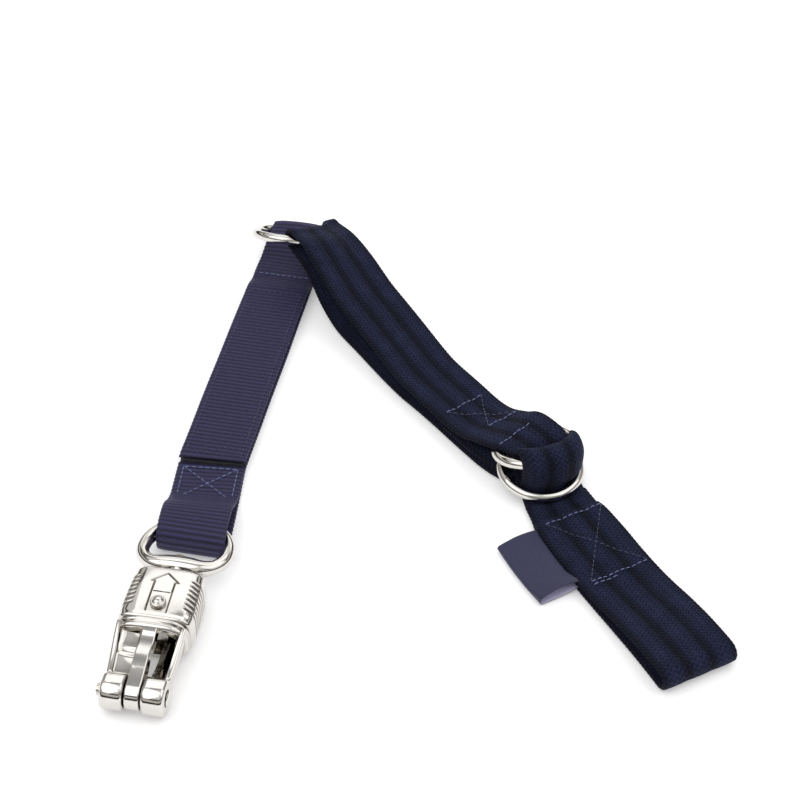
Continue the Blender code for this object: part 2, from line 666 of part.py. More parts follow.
def build():
    clear_scene()
    line = cotton_webs()
    tail(line)
    nylon_line, flap_z = nylon_webs()
    px, py, heading = at(line, ADJUSTER_S)
    along = Vector((math.cos(math.radians(heading)), math.sin(math.radians(heading)), 0.0))
    place = Vector((px, py, RING_2_Z))
    ring("adjuster_ring_lower", place, heading, RING_2_TILT)
    place = Vector((px, py, RING_1_Z)) - along * RING_1_SETBACK
    ring("adjuster_ring_upper", place, heading, RING_1_TILT)
    ring("upper_ring", UPPER_RING, UPPER_RING_HEADING, -UPPER_RING_TILT)
    stitch_frame("cotton_box_stitch", line, ADJUSTER_S - 43 * MM, ADJUSTER_S - 31 * MM,
                 9 * MM, 8.9 * MM)
    stitch_frame("tail_box_stitch", line, 184.5 * MM, 216.5 * MM, 11 * MM, 5.4 * MM)
    stitch_frame("nylon_box_stitch", nylon_line, 33 * MM, 45 * MM, 9 * MM, 3.2 * MM)
    stitch_frame("tape_stitch", nylon_line, 54 * MM, 148 * MM, 10.2 * MM,
                 flap_z + NYLON_T / 2 + GAP)
    root = snap_frame()
    snap_eye(root)
    snap_body(root)
    release_sleeve(root)
    sleeve_spring(root)
    guide_button(root)
    gate(root)
    hinge_pin(root)
    label(line)


build()
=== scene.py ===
import math

import bmesh
import bpy
import numpy as np
from mathutils import Matrix, Vector


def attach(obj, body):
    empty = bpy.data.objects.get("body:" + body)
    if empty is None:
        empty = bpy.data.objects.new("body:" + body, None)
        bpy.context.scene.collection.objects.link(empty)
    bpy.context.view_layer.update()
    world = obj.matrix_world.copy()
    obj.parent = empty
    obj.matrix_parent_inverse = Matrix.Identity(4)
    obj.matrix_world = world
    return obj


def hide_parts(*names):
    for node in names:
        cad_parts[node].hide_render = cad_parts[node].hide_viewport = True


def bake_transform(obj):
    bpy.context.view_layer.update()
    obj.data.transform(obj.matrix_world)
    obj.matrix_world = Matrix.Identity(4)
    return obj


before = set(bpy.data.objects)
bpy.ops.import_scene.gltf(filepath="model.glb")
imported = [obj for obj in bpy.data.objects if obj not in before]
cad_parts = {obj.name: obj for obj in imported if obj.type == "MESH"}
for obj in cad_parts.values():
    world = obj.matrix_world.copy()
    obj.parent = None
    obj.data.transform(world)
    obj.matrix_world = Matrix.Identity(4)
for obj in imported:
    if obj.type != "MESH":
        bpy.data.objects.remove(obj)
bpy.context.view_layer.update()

MM = 0.001

# Layout: where each leg's ground line starts, its headings and lengths. The lines are the
# CAD's, but the cotton web turns more steeply in its first 12 mm, at the fold.
FOLD_START = (-44.45 * MM, 114.48 * MM)
COTTON_LEGS = ((-61.0, 12 * MM), (-60.0, 34 * MM), (-57.0, 45 * MM), (-53.0, 48 * MM),
               (-44.0, 16 * MM), (-66.0, 24 * MM), (-62.4, 92 * MM))
NYLON_START = (-82.6 * MM, -58.9 * MM)
NYLON_LEGS = ((84.5, 50 * MM), (78.6, 118 * MM), (76.0, 27 * MM))
SNAP_TOP = (-87.0 * MM, -77.0 * MM)
SNAP_HEADING = -100.3
UPPER_RING = (-52.6 * MM, 117.1 * MM, 12.5 * MM)
UPPER_RING_TILT = 30.0
UPPER_RING_HEADING = 80.0
RING_R = 14.5 * MM
WIRE_R = 1.9 * MM
ADJUSTER_S = 158.5 * MM
RING_2_Z = 6.3 * MM
RING_2_TILT = -5.3
RING_1_Z = 12.4 * MM
RING_1_TILT = 18.0
RING_1_SETBACK = 5.4 * MM

# Webs
WEB_HALF = 12.5 * MM
TAIL_HALF = 14.8 * MM
COTTON_T = 2.4 * MM
NYLON_T = 1.2 * MM
TAIL_JOIN = 171.0 * MM
TAIL_END = 269.5 * MM
RIB_PITCH = 2.0 * MM
TAPE_T = 0.8 * MM
LAYER_GAP = 0.3 * MM
FOLD_SKEW = 0.11
RIDGE_BASE = 0.55 * MM
RIDGE_HIGH = 1.25 * MM
SELVEDGE = 0.93
PATCH_Z = NYLON_T / 2 + NYLON_T + LAYER_GAP
FLAP_Z = PATCH_Z + 2 * TAPE_T + 2 * LAYER_GAP
COTTON_TOP_Z = 7.2 * MM
TAIL_TOP_Z = 4.0 * MM
RING_1_LEAN = math.radians(RING_1_TILT)
THREAD_R = 0.2 * MM
THREAD_PITCH = 2.3 * MM
THREAD_LIFT = 0.2 * MM


# ---- ground lines and webs ----

def ground_line(start, legs, step=1.0 * MM, blend=8.0 * MM):
    """Points (x, y, heading) every step, with headings blended at each corner."""
    total = sum(length for _, length in legs)
    corners = []
    travelled = 0.0
    for index in range(1, len(legs)):
        travelled += legs[index - 1][1]
        corners.append((travelled, legs[index - 1][0], legs[index][0]))
    x, y = start
    line = []
    for index in range(int(round(total / step)) + 1):
        s = index * step
        heading = legs[0][0]
        for where, before, after in corners:
            t = min(max((s - where) / blend + 0.5, 0.0), 1.0)
            heading += (after - before) * t * t * (3 - 2 * t)
        line.append((x, y, heading))
        x += math.cos(math.radians(heading)) * step
        y += math.sin(math.radians(heading)) * step
    return np.array(line)


def at(line, s, step=1.0 * MM):
    """Points and headings at distances s (an array), straight past both ends."""
    place = np.asarray(s, float) / step
    index = np.clip(np.floor(place).astype(int), 0, len(line) - 2)
    t = (place - index)[..., None]
    return line[index] * (1 - t) + line[index + 1] * t


def spot(line, s, across, z):
    """A point in the shared frame, at s along a line and across from it."""
    x, y, heading = at(line, s)
    angle = math.radians(heading + 90)
    return Vector((x + math.cos(angle) * across, y + math.sin(angle) * across, z))


def row(s, z, half, along=0.0, up=0.0, shift=0.0):
    """A side profile's point, from millimetres: place, height, half width, holds, sideways shift."""
    return (s * MM, z * MM, half * MM, along, up, shift * MM)


def bend(s, z, radius, start, end, half, *holds, steps=10):
    """An arc of a side profile about (s, z), from one angle to another, in millimetres."""
    points = []
    for index in range(steps + 1):
        angle = math.radians(start + (end - start) * index / steps)
        points.append(row(s + radius * math.cos(angle), z + radius * math.sin(angle), half, *holds))
    return points


def between(a, b, ta, tb, t):
    """The value at t, straight from a at ta to b at tb."""
    return (tb - t) / (tb - ta) * a + (t - ta) / (tb - ta) * b


def smooth(points, pitch):
    """A centripetal curve through profile points, resampled evenly by length."""
    p = np.array(points, float)
    ends = (2 * p[0] - p[1], 2 * p[-1] - p[-2])
    p = np.vstack([ends[0], p, ends[1]])
    fine = []
    for index in range(1, len(p) - 2):
        p0, p1, p2, p3 = p[index - 1:index + 3]
        knots = [0.0]
        for a, b in ((p0, p1), (p1, p2), (p2, p3)):
            knots.append(knots[-1] + max(math.hypot(*(b[:2] - a[:2])), 1e-6) ** 0.5)
        t0, t1, t2, t3 = knots
        for t in np.linspace(t1, t2, 24, endpoint=False):
            middle = between(p1, p2, t1, t2, t)
            b1 = between(between(p0, p1, t0, t1, t), middle, t0, t2, t)
            b2 = between(middle, between(p2, p3, t2, t3, t), t1, t3, t)
            fine.append(between(b1, b2, t1, t2, t))
    fine.append(p[-2])
    fine = np.array(fine)
    length = np.concatenate([[0], np.cumsum(np.hypot(*np.diff(fine[:, :2], axis=0).T))])
    even = np.linspace(0, length[-1], max(int(length[-1] / pitch), 4) + 1)
    return np.column_stack([np.interp(even, length, fine[:, k]) for k in range(p.shape[1])]), even


def wire_offsets(centre, normal, line, s_ref, across):
    """Where a ring's wire runs past s_ref, as offsets (along, up) for places across."""
    normal = np.array(normal) / np.linalg.norm(normal)
    a = np.cross(normal, (0, 0, 1.0))
    a /= np.linalg.norm(a)
    b = np.cross(normal, a)
    x, y, heading = at(line, s_ref)
    forward = np.array([math.cos(math.radians(heading)), math.sin(math.radians(heading)), 0])
    lateral = np.array([-forward[1], forward[0], 0])
    middle = np.array(centre) - np.array([x, y, 0])
    k = np.asarray(across) - middle @ lateral
    ca = RING_R * (a @ lateral)
    cb = RING_R * (b @ lateral)
    size = math.hypot(ca, cb)
    spread = np.arccos(np.clip(k / size, -0.97, 0.97))
    best = None
    for sign in (1, -1):
        angle = math.atan2(cb, ca) + sign * spread
        point = middle + RING_R * (np.cos(angle)[..., None] * a + np.sin(angle)[..., None] * b)
        along = point @ forward
        if best is None or along.mean() > best[0].mean():
            best = (along, point[..., 2])
    return best


def ribbon(name, line, points, section, mat, pitch, wire=None, rib=0.0, edge=0.0, edge_pitch=1.7 * MM,
           wander=0.25 * MM, phase=0.0):
    """A woven strip along a side profile of rows.

    section is a closed loop of (across from -1 to 1, outward offset); rib raises cross
    ribs, edge scallops the selvedges, wire gives the offsets that the holds take up."""
    rows, length = smooth(points, pitch)
    tangent = np.gradient(rows[:, :2], axis=0)
    tangent /= np.linalg.norm(tangent, axis=1)[:, None]
    normal = np.column_stack([-tangent[:, 1], tangent[:, 0]])
    across = np.array([p[0] for p in section])
    offset = np.array([p[1] for p in section])
    wave = np.abs(np.cos(math.pi * length / RIB_PITCH)) ** 0.7
    scallop = np.abs(np.sin(math.pi * length / edge_pitch))
    side = (np.abs(across) > SELVEDGE).astype(float)
    du = rows[:, 2:3] * across[None, :]
    du = du * (1 + edge / WEB_HALF * scallop[:, None] * side[None, :])
    slow, quick = 61, 143
    sway = np.sin(length * slow + phase) + 0.6 * np.sin(length * quick + 2 * phase)
    drift = wander * sway + rows[:, 5]
    out = offset[None, :] * (1 + rib / NYLON_T * (wave[:, None] - 0.5) * 2 * (1 - side[None, :]))
    s = rows[:, 0:1] + normal[:, 0:1] * out
    z = rows[:, 1:2] + normal[:, 1:2] * out
    if wire is not None:
        along, up = wire(du)
        s = s + along * rows[:, 3:4]
        z = z + up * rows[:, 4:5]
    ground = at(line, s)
    angle = np.radians(ground[..., 2] + 90)
    x = ground[..., 0] + np.cos(angle) * (du + drift[:, None])
    y = ground[..., 1] + np.sin(angle) * (du + drift[:, None])
    verts = np.stack([x, y, np.maximum(z, 0.0)], axis=-1).reshape(-1, 3)
    mesh = bpy.data.meshes.new(name)
    mesh.from_pydata(verts.tolist(), [], strip_faces(len(rows), len(section)))
    run = length[:, None] + np.zeros((1, len(section)))
    spread = (across * WEB_HALF)[None, :] + np.zeros((len(rows), 1))
    flat = np.stack([spread, run], axis=-1).reshape(-1, 2)
    loops = np.empty(len(mesh.loops), dtype=np.int32)
    mesh.loops.foreach_get("vertex_index", loops)
    uv = mesh.uv_layers.new(name="web")
    uv.data.foreach_set("uv", flat[loops].astype(np.float32).ravel())
    return finish_mesh(name, mesh, mat)


def strip_faces(rows, count):
    """Faces of a closed strip: rows of count points round its section, capped at both ends."""
    faces = []
    for r in range(rows - 1):
        base = r * count
        for c in range(count):
            d = (c + 1) % count
            faces.append((base + c, base + d, base + count + d, base + count + c))
    faces.append(tuple(reversed(range(count))))
    faces.append(tuple((rows - 1) * count + c for c in range(count)))
    return faces


def add_piece(obj, body, slot, *nodes):
    """Let a finished piece ride its body and stand for its CAD nodes, if any."""
    if nodes:
        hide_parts(*nodes)
    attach(obj, body)
    return obj


def finish_mesh(name, mesh, mat, sharp=None):
    bm = bmesh.new()
    bm.from_mesh(mesh)
    bmesh.ops.recalc_face_normals(bm, faces=bm.faces)
    bm.to_mesh(mesh)
    bm.free()
    mesh.shade_smooth()
    if sharp is not None:
        mesh.set_sharp_from_angle(angle=math.radians(sharp))
    obj = bpy.data.objects.new(name, mesh)
    bpy.context.scene.collection.objects.link(obj)
    mesh.materials.append(mat)
    return obj


def from_bmesh(name, bm, mat, sharp=None):
    mesh = bpy.data.meshes.new(name)
    bm.to_mesh(mesh)
    bm.free()
    return finish_mesh(name, mesh, mat, sharp)


def nylon_section():
    """Flat web with rounded selvedges."""
    half_t = NYLON_T / 2
    top = [(u, half_t) for u in np.linspace(-0.965, 0.965, 13)]
    loop = top + [(0.99, 0.7 * half_t), (1.0, 0.0), (0.99, -0.7 * half_t)]
    loop += [(u, -h) for u, h in reversed(top)]
    return loop + [(-0.99, -0.7 * half_t), (-1.0, 0.0), (-0.99, 0.7 * half_t)]


def cotton_section(ridge=1.0):
    """A web with three lengthwise ridges and two valleys on each face."""
    top = [(u, ridge_height(u, ridge)) for u in np.linspace(-0.955, 0.955, 49)]
    bottom = [(u, -(0.70 * MM + 0.25 * (h - RIDGE_BASE))) for u, h in reversed(top)]
    right = [(0.985, 0.5 * MM), (1.0, 0.0), (0.985, -0.4 * MM)]
    left = [(-0.985, -0.4 * MM), (-1.0, 0.0), (-0.985, 0.5 * MM)]
    return top + right + bottom + left


def ridge_height(u, ridge):
    """How far the cotton web's top face stands above its middle plane at u."""
    lobe = abs(math.cos(1.5 * math.pi * u)) ** 0.55
    shoulder = max(0.0, (abs(u) - 0.72) / 0.28) ** 2
    return RIDGE_BASE + RIDGE_HIGH * (ridge * lobe + (1 - ridge) * 0.75) * (1 - 0.55 * shoulder)


def upper_ring_wire(line, s_ref):
    """The upper ring's wire where a line meets it: s, z (mm), and its offsets from there."""
    axis = ring_normal(UPPER_RING_HEADING, -UPPER_RING_TILT)
    along0, up0 = wire_offsets(UPPER_RING, axis, line, s_ref, np.array([0.0]))

    def offsets(across):
        along, up = wire_offsets(UPPER_RING, axis, line, s_ref, across)
        return along - along0, up - up0

    return (s_ref + float(along0[0])) / MM, float(up0[0]) / MM, offsets


def cotton_strap(line, mat):
    """The doubled web: the sewn loop round both adjuster rings and the two layers, folded
    over the upper ring."""
    fold_s, fold_z, wire = upper_ring_wire(line, 6.8 * MM)
    place, wide = ADJUSTER_S / MM, WEB_HALF / MM
    upper, lower = COTTON_TOP_Z / MM, 1.25
    turn_r = (WIRE_R + COTTON_T / 2) / MM + 1.7
    rows = [row(place - 41, 3.9, wide), row(place - 27, 3.9, wide), row(place - 14, 3.8, 11.9, shift=1.0)]
    rows += bend(place - 7.0, 8.9, 5.1, -80, 75, 12.6, 0.0, 0.0, 2.2, steps=8)
    rows += [row(place - 14, 13.8, 13.3, shift=2.2), row(place - 22, 11.4, 13.0, shift=1.2),
             row(place - 29, 8.6, 12.6, shift=0.4), row(place - 36, upper + 0.2, wide),
             row(place - 50, upper, wide), row(92, 7.8, wide), row(70, 11.2, wide),
             row(48, 16.0, wide), row(30, 20.2, 12.5, 0.15, 0.15, 0.3), row(18, 22.8, 12.3, 0.5, 0.5, 0.5)]
    rows += bend(fold_s, fold_z, turn_r, 80, 280, 12.2, 0.85, 0.7, 0.8, steps=12)
    rows += [row(19, 9.6, 11.9, 0.6, 0.5, 0.4), row(30, 5.4, 12.2, 0.15, 0.1), row(44, 1.9, wide),
             row(60, lower, wide), row(100, lower, wide), row(place - 16, lower, wide)]
    web = ribbon("cotton_strap", line, rows, cotton_section(), mat, 0.85 * MM, wire,
                 edge=0.16 * MM, phase=0.4)
    add_piece(web, "strap", "cotton_web", "cotton_ring_fold", "cotton_upper_layer",
              "cotton_lower_layer", "cotton_fixed_loop")


def cotton_roll(line, mat):
    """The lower layer's far end, turned up and back over the upper adjuster ring."""
    place, wide, lower = ADJUSTER_S / MM, WEB_HALF / MM, 1.25
    wire_s = (ADJUSTER_S - RING_1_SETBACK + RING_R * math.cos(RING_1_LEAN)) / MM
    wire_z = (RING_1_Z + RING_R * math.sin(RING_1_LEAN)) / MM
    roll_r = (WIRE_R + COTTON_T / 2) / MM + 1.1
    rows = [row(place - 16, lower, wide), row(place - 8, lower, 12.0),
            row(place + 2.4, 1.5, 12.2, 0.2, 0, 0.2), row(place + 5.6, 4.6, 12.0, 0.5, 0.2, 0.8),
            row(wire_s - roll_r - 0.6, wire_z - 5, 12.2, 0.8, 0.8, 1.5)]
    rows += bend(wire_s, wire_z + 0.3, roll_r, 172, 10, 12.4, 0.9, 0.8, 1.5)
    rows += [row(place + 12.2, 11.0, 12.3, 0.9, 0.5, 1.4), row(place + 10.6, 6.4, 12.0, 0.8, 0.2, 1.0),
             row(place + 11.4, 2.4, 11.9, 0.6, 0.0, 0.6), row(place + 14.5, lower, 12.2, 0.2),
             row(place + 19, lower, wide)]

    def ring_wire(across):
        sag = np.sqrt(np.maximum(RING_R ** 2 - across ** 2, 1e-9)) - RING_R
        return sag * math.cos(RING_1_LEAN), sag * math.sin(RING_1_LEAN)

    web = ribbon("cotton_roll_web", line, rows, cotton_section(0.35), mat, 0.7 * MM, ring_wire,
                 edge=0.12 * MM, wander=0.0)
    add_piece(web, "strap", "cotton_web", "cotton_roll")


def cotton_tail(line, mat):
    """The tail and its sewn end loop, in one piece."""
    half_t, loop_r = 1.25, 3.4
    top_z, half = TAIL_TOP_Z / MM, TAIL_HALF / MM
    fold = TAIL_END / MM - loop_r - half_t
    loop_top = half_t + 2 * loop_r - 0.5
    rows = [row(TAIL_JOIN / MM, half_t, WEB_HALF / MM), row(178, half_t, 13.2, shift=-0.2),
            row(186, half_t, 14.6, shift=-0.9), row(200, half_t, 15.0, shift=-1.1),
            row(214, half_t, 14.8, shift=-0.9), row(232, half_t, half), row(fold - 4, half_t, half)]
    rows += bend(fold, half_t + loop_r, loop_r, -80, 80, half, steps=8)
    rows += [row(fold - 10, loop_top, half), row(fold - 24, 6.0, half),
             row(fold - 38, top_z + 0.3, half, shift=-0.2), row(210, top_z, 14.8, shift=-0.9),
             row(196, top_z, 14.8, shift=-1.1), row(185, top_z - 0.3, 14.2, shift=-0.8),
             row(181.6, 3.1, 13.5, shift=-0.5)]
    tail = ribbon("cotton_tail_web", line, rows, cotton_section(0.75), mat, 0.85 * MM,
                  edge=0.16 * MM, phase=1.3)
    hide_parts("cotton_tail")
    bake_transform(tail)


NYLON_WEAVE = dict(rib=0.42 * MM, edge=0.3 * MM, edge_pitch=RIB_PITCH, wander=0.08 * MM)


def nylon_flap(line, mat):
    """The breakaway strap's end loop round the upper ring, and the flap."""
    total = sum(length for _, length in NYLON_LEGS)
    wire_s, wire_z, wire = upper_ring_wire(line, total - 4.6 * MM)
    half_t, wide = NYLON_T / 2 / MM, WEB_HALF / MM
    layer, flap_z = PATCH_Z / MM, FLAP_Z / MM
    rows = [row(164.9, half_t, wide), row(174, half_t, wide), row(182, half_t, 11.6, 0.4, 0.2)]
    rows += bend(wire_s, wire_z, WIRE_R / MM + 0.5 + half_t, -80, 85, 10.6, 1.0, 1.0)
    rows += [row(183, 6.4, 11.4, 0.5, 0.4), row(174, layer + 0.6, 12.3, 0.1),
             row(166, layer, wide), row(160, layer, wide), row(153.5, flap_z - 0.2, wide)]
    rows += [row(s, flap_z, wide) for s in (146, 100, 49.6)]
    web = ribbon("nylon_loop_and_flap", line, rows, nylon_section(), mat, 0.4 * MM, wire, **NYLON_WEAVE)
    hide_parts("nylon_ring_loop", "nylon_flap")
    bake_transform(web)


def nylon_lower(line, mat):
    """The breakaway strap's lower run, with the sewn loop round the snap's eye."""
    half_t, wide = NYLON_T / 2 / MM, WEB_HALF / MM
    layer = PATCH_Z / MM
    eye_z, eye_r = 5.8, 5.0
    rows = [row(s, half_t, wide) for s in (164.7, 110, 50)]
    rows += [row(22, half_t, wide, 0.2), row(11, half_t + 0.1, wide, 0.8)]
    rows += bend(eye_r + half_t + 1.2, eye_z, eye_r, 262, 98, wide, 1)
    rows += [row(12.5, 10.8, wide, 0.8), row(19.5, 9.3, wide, 0.3), row(26, 5.0, wide),
             row(32, layer + 0.2, wide), row(37, layer, wide), row(48.5, layer, wide)]

    def skew(across):
        return FOLD_SKEW * across, 0.0 * across

    web = ribbon("nylon_lower_web", line, rows, nylon_section(), mat, 0.4 * MM, skew,
                 phase=2.0, **NYLON_WEAVE)
    add_piece(web, "nylon", "nylon_web", "nylon_lower_strap")


def tapes(line, mat):
    """The loop tape on the lower run and the hook tape under the flap."""
    section = [(u, TAPE_T / 2) for u in np.linspace(-1, 1, 15)]
    section += [(u, -h) for u, h in reversed(section)]
    loop_z = NYLON_T + LAYER_GAP + TAPE_T / 2
    hook_z = loop_z + TAPE_T + LAYER_GAP
    for name, z, ends, body, phase in (("loop_tape", loop_z, (52, 152), "nylon", 0.0),
                                       ("hook_tape", hook_z, (48.6, 150), "flap", -0.6 * MM)):
        rows = [row(s, z / MM, 11.6) for s in np.linspace(*ends, 8)]
        piece = ribbon(name + "_strip", line, rows, section, mat, 0.6 * MM, edge=0.2 * MM,
                       edge_pitch=1.1 * MM, wander=0.12 * MM, phase=phase)
        add_piece(piece, body, "hook_and_loop_tape", name)


def ring_normal(heading, tilt):
    turn = Matrix.Rotation(math.radians(heading - 90), 3, "Z") @ Matrix.Rotation(math.radians(tilt), 3, "X")
    return tuple(turn @ Vector((0, 0, 1)))


def wire_ring(name, node, centre, heading, tilt, mat):
    """A round wire ring, with a faint swell at its weld."""
    around, section = 128, 24
    weld_at, weld_wide, weld_swell = 4.1, 0.06, 0.04
    bm = bmesh.new()
    rows = []
    for i in range(around):
        a = 2 * math.pi * i / around
        r = WIRE_R * (1 + weld_swell * math.exp(-((a - weld_at) / weld_wide) ** 2))
        made = []
        for k in range(section):
            b = 2 * math.pi * k / section
            reach = RING_R + r * math.cos(b)
            made.append(bm.verts.new((reach * math.cos(a), reach * math.sin(a), r * math.sin(b))))
        rows.append(made)
    join_rows(bm, rows + rows[:1])
    bm.transform(Matrix.Translation(centre) @ Matrix.Rotation(math.radians(heading - 90), 4, "Z")
                 @ Matrix.Rotation(math.radians(tilt), 4, "X"))
    return add_piece(from_bmesh(name, bm, mat), node, "nickel_plate", node)


def join_rows(bm, made):
    """Faces from each closed row of vertices to the next."""
    count = len(made[0])
    for first, second in zip(made, made[1:]):
        for k in range(count):
            m = (k + 1) % count
            bm.faces.new((first[k], first[m], second[m], second[k]))


# ---- stitching ----

def stitches(name, runs, mat, body, *nodes):
    """Separate thread stitches, each a small lozenge that dips at both ends."""
    bm = bmesh.new()
    for run in runs:
        lengths = [(b - a).length for a, b in zip(run, run[1:])]
        total = sum(lengths)
        count = max(int(total / THREAD_PITCH), 1)
        for index in range(count):
            ends = [along_run(run, lengths, (index + part) * total / count) for part in (0.13, 0.87)]
            one_stitch(bm, *ends)
    return add_piece(from_bmesh(name, bm, mat), body, "stitching_thread", *nodes)


def along_run(run, lengths, want):
    """The point at a distance along a run of points."""
    for a, b, size in zip(run, run[1:], lengths):
        if want <= size or b is run[-1]:
            return a.lerp(b, min(want / size, 1.0))
        want -= size


def one_stitch(bm, start, end):
    axis = (end - start).normalized()
    side = axis.cross(Vector((0, 0, 1))).normalized()
    up = side.cross(axis)
    rows = []
    for t, size, lift in ((0.0, 0.35, -0.9), (0.16, 0.85, 0.0), (0.5, 1.0, 0.35), (0.84, 0.85, 0.0),
                          (1.0, 0.35, -0.9)):
        middle = start.lerp(end, t) + up * (lift * THREAD_R)
        rows.append([bm.verts.new(middle + (side * math.cos(a) + up * math.sin(a)) * THREAD_R * size)
                     for a in (math.radians(60 * k) for k in range(6))])
    join_rows(bm, rows)
    bm.faces.new(rows[0])
    bm.faces.new(list(reversed(rows[-1])))


def seams(line, half, z, ridge, *runs, parts=14):
    """Points of straight seams on a web, each run given as (s0, u0, s1, u1)."""
    made = []
    for s0, u0, s1, u1 in runs:
        points = []
        for t in (index / parts for index in range(parts + 1)):
            s = s0 + (s1 - s0) * t
            u = u0 + (u1 - u0) * t
            lift = 0.0 if ridge is None else ridge_height(u, ridge)
            points.append(spot(line, s, u * half, (z(s) if callable(z) else z) + lift))
        made.append(points)
    return made


def cotton_stitching(line, pale, dark):
    """The box seams on the doubled web's sewn end and on the tail."""
    place = ADJUSTER_S
    hump_s = [place + s * MM for s in (-44, -36, -29, -22, -14)]
    hump_z = [z * MM for z in (7.2, 7.5, 8.75, 11.55, 13.95)]

    def hump(s):
        return float(np.interp(s, hump_s, hump_z))

    a, b, c = place - 43 * MM, place - 25 * MM, place - 13 * MM
    cross = seams(line, WEB_HALF, COTTON_TOP_Z, 1.0, (a, -0.75, a, 0.62))
    cross += seams(line, WEB_HALF, hump, 1.0, (b, -0.25, b, 0.85), (c, -0.8, c, 0.55))
    stitches("cotton_cross_seam", cross, pale, "strap", "cotton_box_stitch")
    slanted = seams(line, WEB_HALF, hump, 1.0, (a, 0.62, b, -0.25), (a, -0.75, b, 0.8))
    stitches("cotton_diagonal_seam", slanted, dark, "strap")
    a, b = 184.5 * MM, 216.5 * MM
    c = b + 1.6 * MM
    cross = seams(line, TAIL_HALF, TAIL_TOP_Z, 0.75, (a, -0.8, a, 0.8), (b, -0.8, b, 0.8), (c, -0.8, c, -0.1))
    stitches("tail_cross_seam", cross, pale, "tail", "tail_box_stitch")
    slanted = seams(line, TAIL_HALF, TAIL_TOP_Z, 0.75, (a, -0.8, b, 0.8), (a, 0.8, b, -0.8))
    stitches("tail_diagonal_seam", slanted, dark, "tail")


def nylon_stitching(line, pale, dark):
    """The seam round the flap's tape, the eye loop's box and the band near the ring."""
    face = FLAP_Z + NYLON_T / 2 + THREAD_LIFT
    near, far, u = 52.5 * MM, 149.5 * MM, 0.84
    runs = seams(line, WEB_HALF, face, None, (far, -u, far, u), (near, -u, near, u))
    runs += seams(line, WEB_HALF, face, None, (near, -u, far, -u), (near, u, far, u), parts=60)
    stitches("flap_seam", runs, dark, "flap", "tape_stitch")
    face = PATCH_Z + NYLON_T / 2 + THREAD_LIFT
    near, far, u = 29.5 * MM, 46.5 * MM, 0.82
    runs = seams(line, WEB_HALF, face + 0.4 * MM, None, (near, -u, near, u))
    runs += seams(line, WEB_HALF, face, None, (far, -u, far, u))
    runs += seams(line, WEB_HALF, face + 0.2 * MM, None, (near, -u, far, -u), (near, u, far, u),
                  (near, -u, far, u), (near, u, far, -u))
    stitches("nylon_box_seam", runs, pale, "nylon", "nylon_box_stitch")
    band = 163.5 * MM
    stitches("band_seam", seams(line, WEB_HALF, face, None, (band, -0.85, band, 0.85)), pale, "nylon")


# ---- panic snap, in its own frame: x across, y from the eye to the gate, z up ----

AXIS_Z = 9.0 * MM
SLEEVE_LEN = 22.5 * MM
SLEEVE_END = SLEEVE_LEN + 1.5 * MM
SLEEVE_POWER = 4.2
GROOVES = 7
GROOVE_FIRST = 5.6 * MM
GROOVE_PITCH = 2.05 * MM
GROOVE_WIDE = 0.40 * MM
GROOVE_DEEP = 0.75 * MM
ARROW_WIDE = 0.20 * MM
ARROW_DEEP = 0.5 * MM
ARROW_APEX = 3.6 * MM
ARROW_BARB = 4.8 * MM
ARROW_SHAFT = 3.6 * MM
ARROW_KNEE = 7.9 * MM
ARROW_FOOT = 21.3 * MM
WINDOW_V = 12.5 * MM
WINDOW_DEEP = 0.35 * MM
BUTTON_V = 17.6 * MM
PIN_V = 50.0 * MM
PIN_Z = 7.2 * MM
EYE_ARC_R = 15.4 * MM
EYE_WIRE_R = 2.4 * MM
EYE_TILT = 9.0
EYE_BASE_V = -7.4 * MM
EYE_FAR_V = -33.1 * MM
SNAP_TURN = (Matrix.Translation((*SNAP_TOP, 0.0))
             @ Matrix.Rotation(math.radians(SNAP_HEADING - 90), 4, "Z"))


def snap_piece(name, bm, mat, body, node, sharp, bevel=None, groove_shade=None):
    """A finished snap piece: turned into the shared frame, bevelled, and riding its body."""
    bm.transform(SNAP_TURN)
    obj = from_bmesh(name, bm, mat, sharp)
    # A point attribute of painted shade, which darkens the colour in the engraved cuts.
    if groove_shade is not None:
        obj.data.attributes.new("groove_shade", "FLOAT", "POINT").data.foreach_set("value", groove_shade)
    if bevel:
        mod = obj.modifiers.new("edges", "BEVEL")
        mod.width = bevel
        mod.segments = 3
        mod.limit_method = "ANGLE"
        mod.angle_limit = math.radians(35)
        mod.harden_normals = False
    return add_piece(obj, body, "nickel_plate", node)


def skin(bm, rows, caps=True):
    """A skin from row to row of points, each row closed, with the ends capped."""
    made = [[bm.verts.new(p) for p in row] for row in rows]
    join_rows(bm, made)
    if caps:
        bm.faces.new(made[0])
        bm.faces.new(list(reversed(made[-1])))
    return made


def oval(half_w, half_h, power, count, v):
    """A squared oval about the snap's axis; power 2 is a plain ellipse."""
    points = []
    for index in range(count):
        angle = 2 * math.pi * index / count
        c, s = math.cos(angle), math.sin(angle)
        points.append((half_w * math.copysign(abs(c) ** (2 / power), c), v,
                       AXIS_Z + half_h * math.copysign(abs(s) ** (2 / power), s)))
    return points


def turned_on_pin(profile, count, flat=0.0):
    """Rows round the hinge pin's axis for a profile of (x, radius); flat cuts four slight flats."""
    rows = []
    for x, r in profile:
        points = []
        for k in range(count):
            a = 2 * math.pi * k / count
            reach = r * MM * (1 - flat * max(0.0, math.cos(4 * a)) ** 2)
            points.append((x * MM, PIN_V + reach * math.cos(a), PIN_Z + reach * math.sin(a)))
        rows.append(points)
    return rows


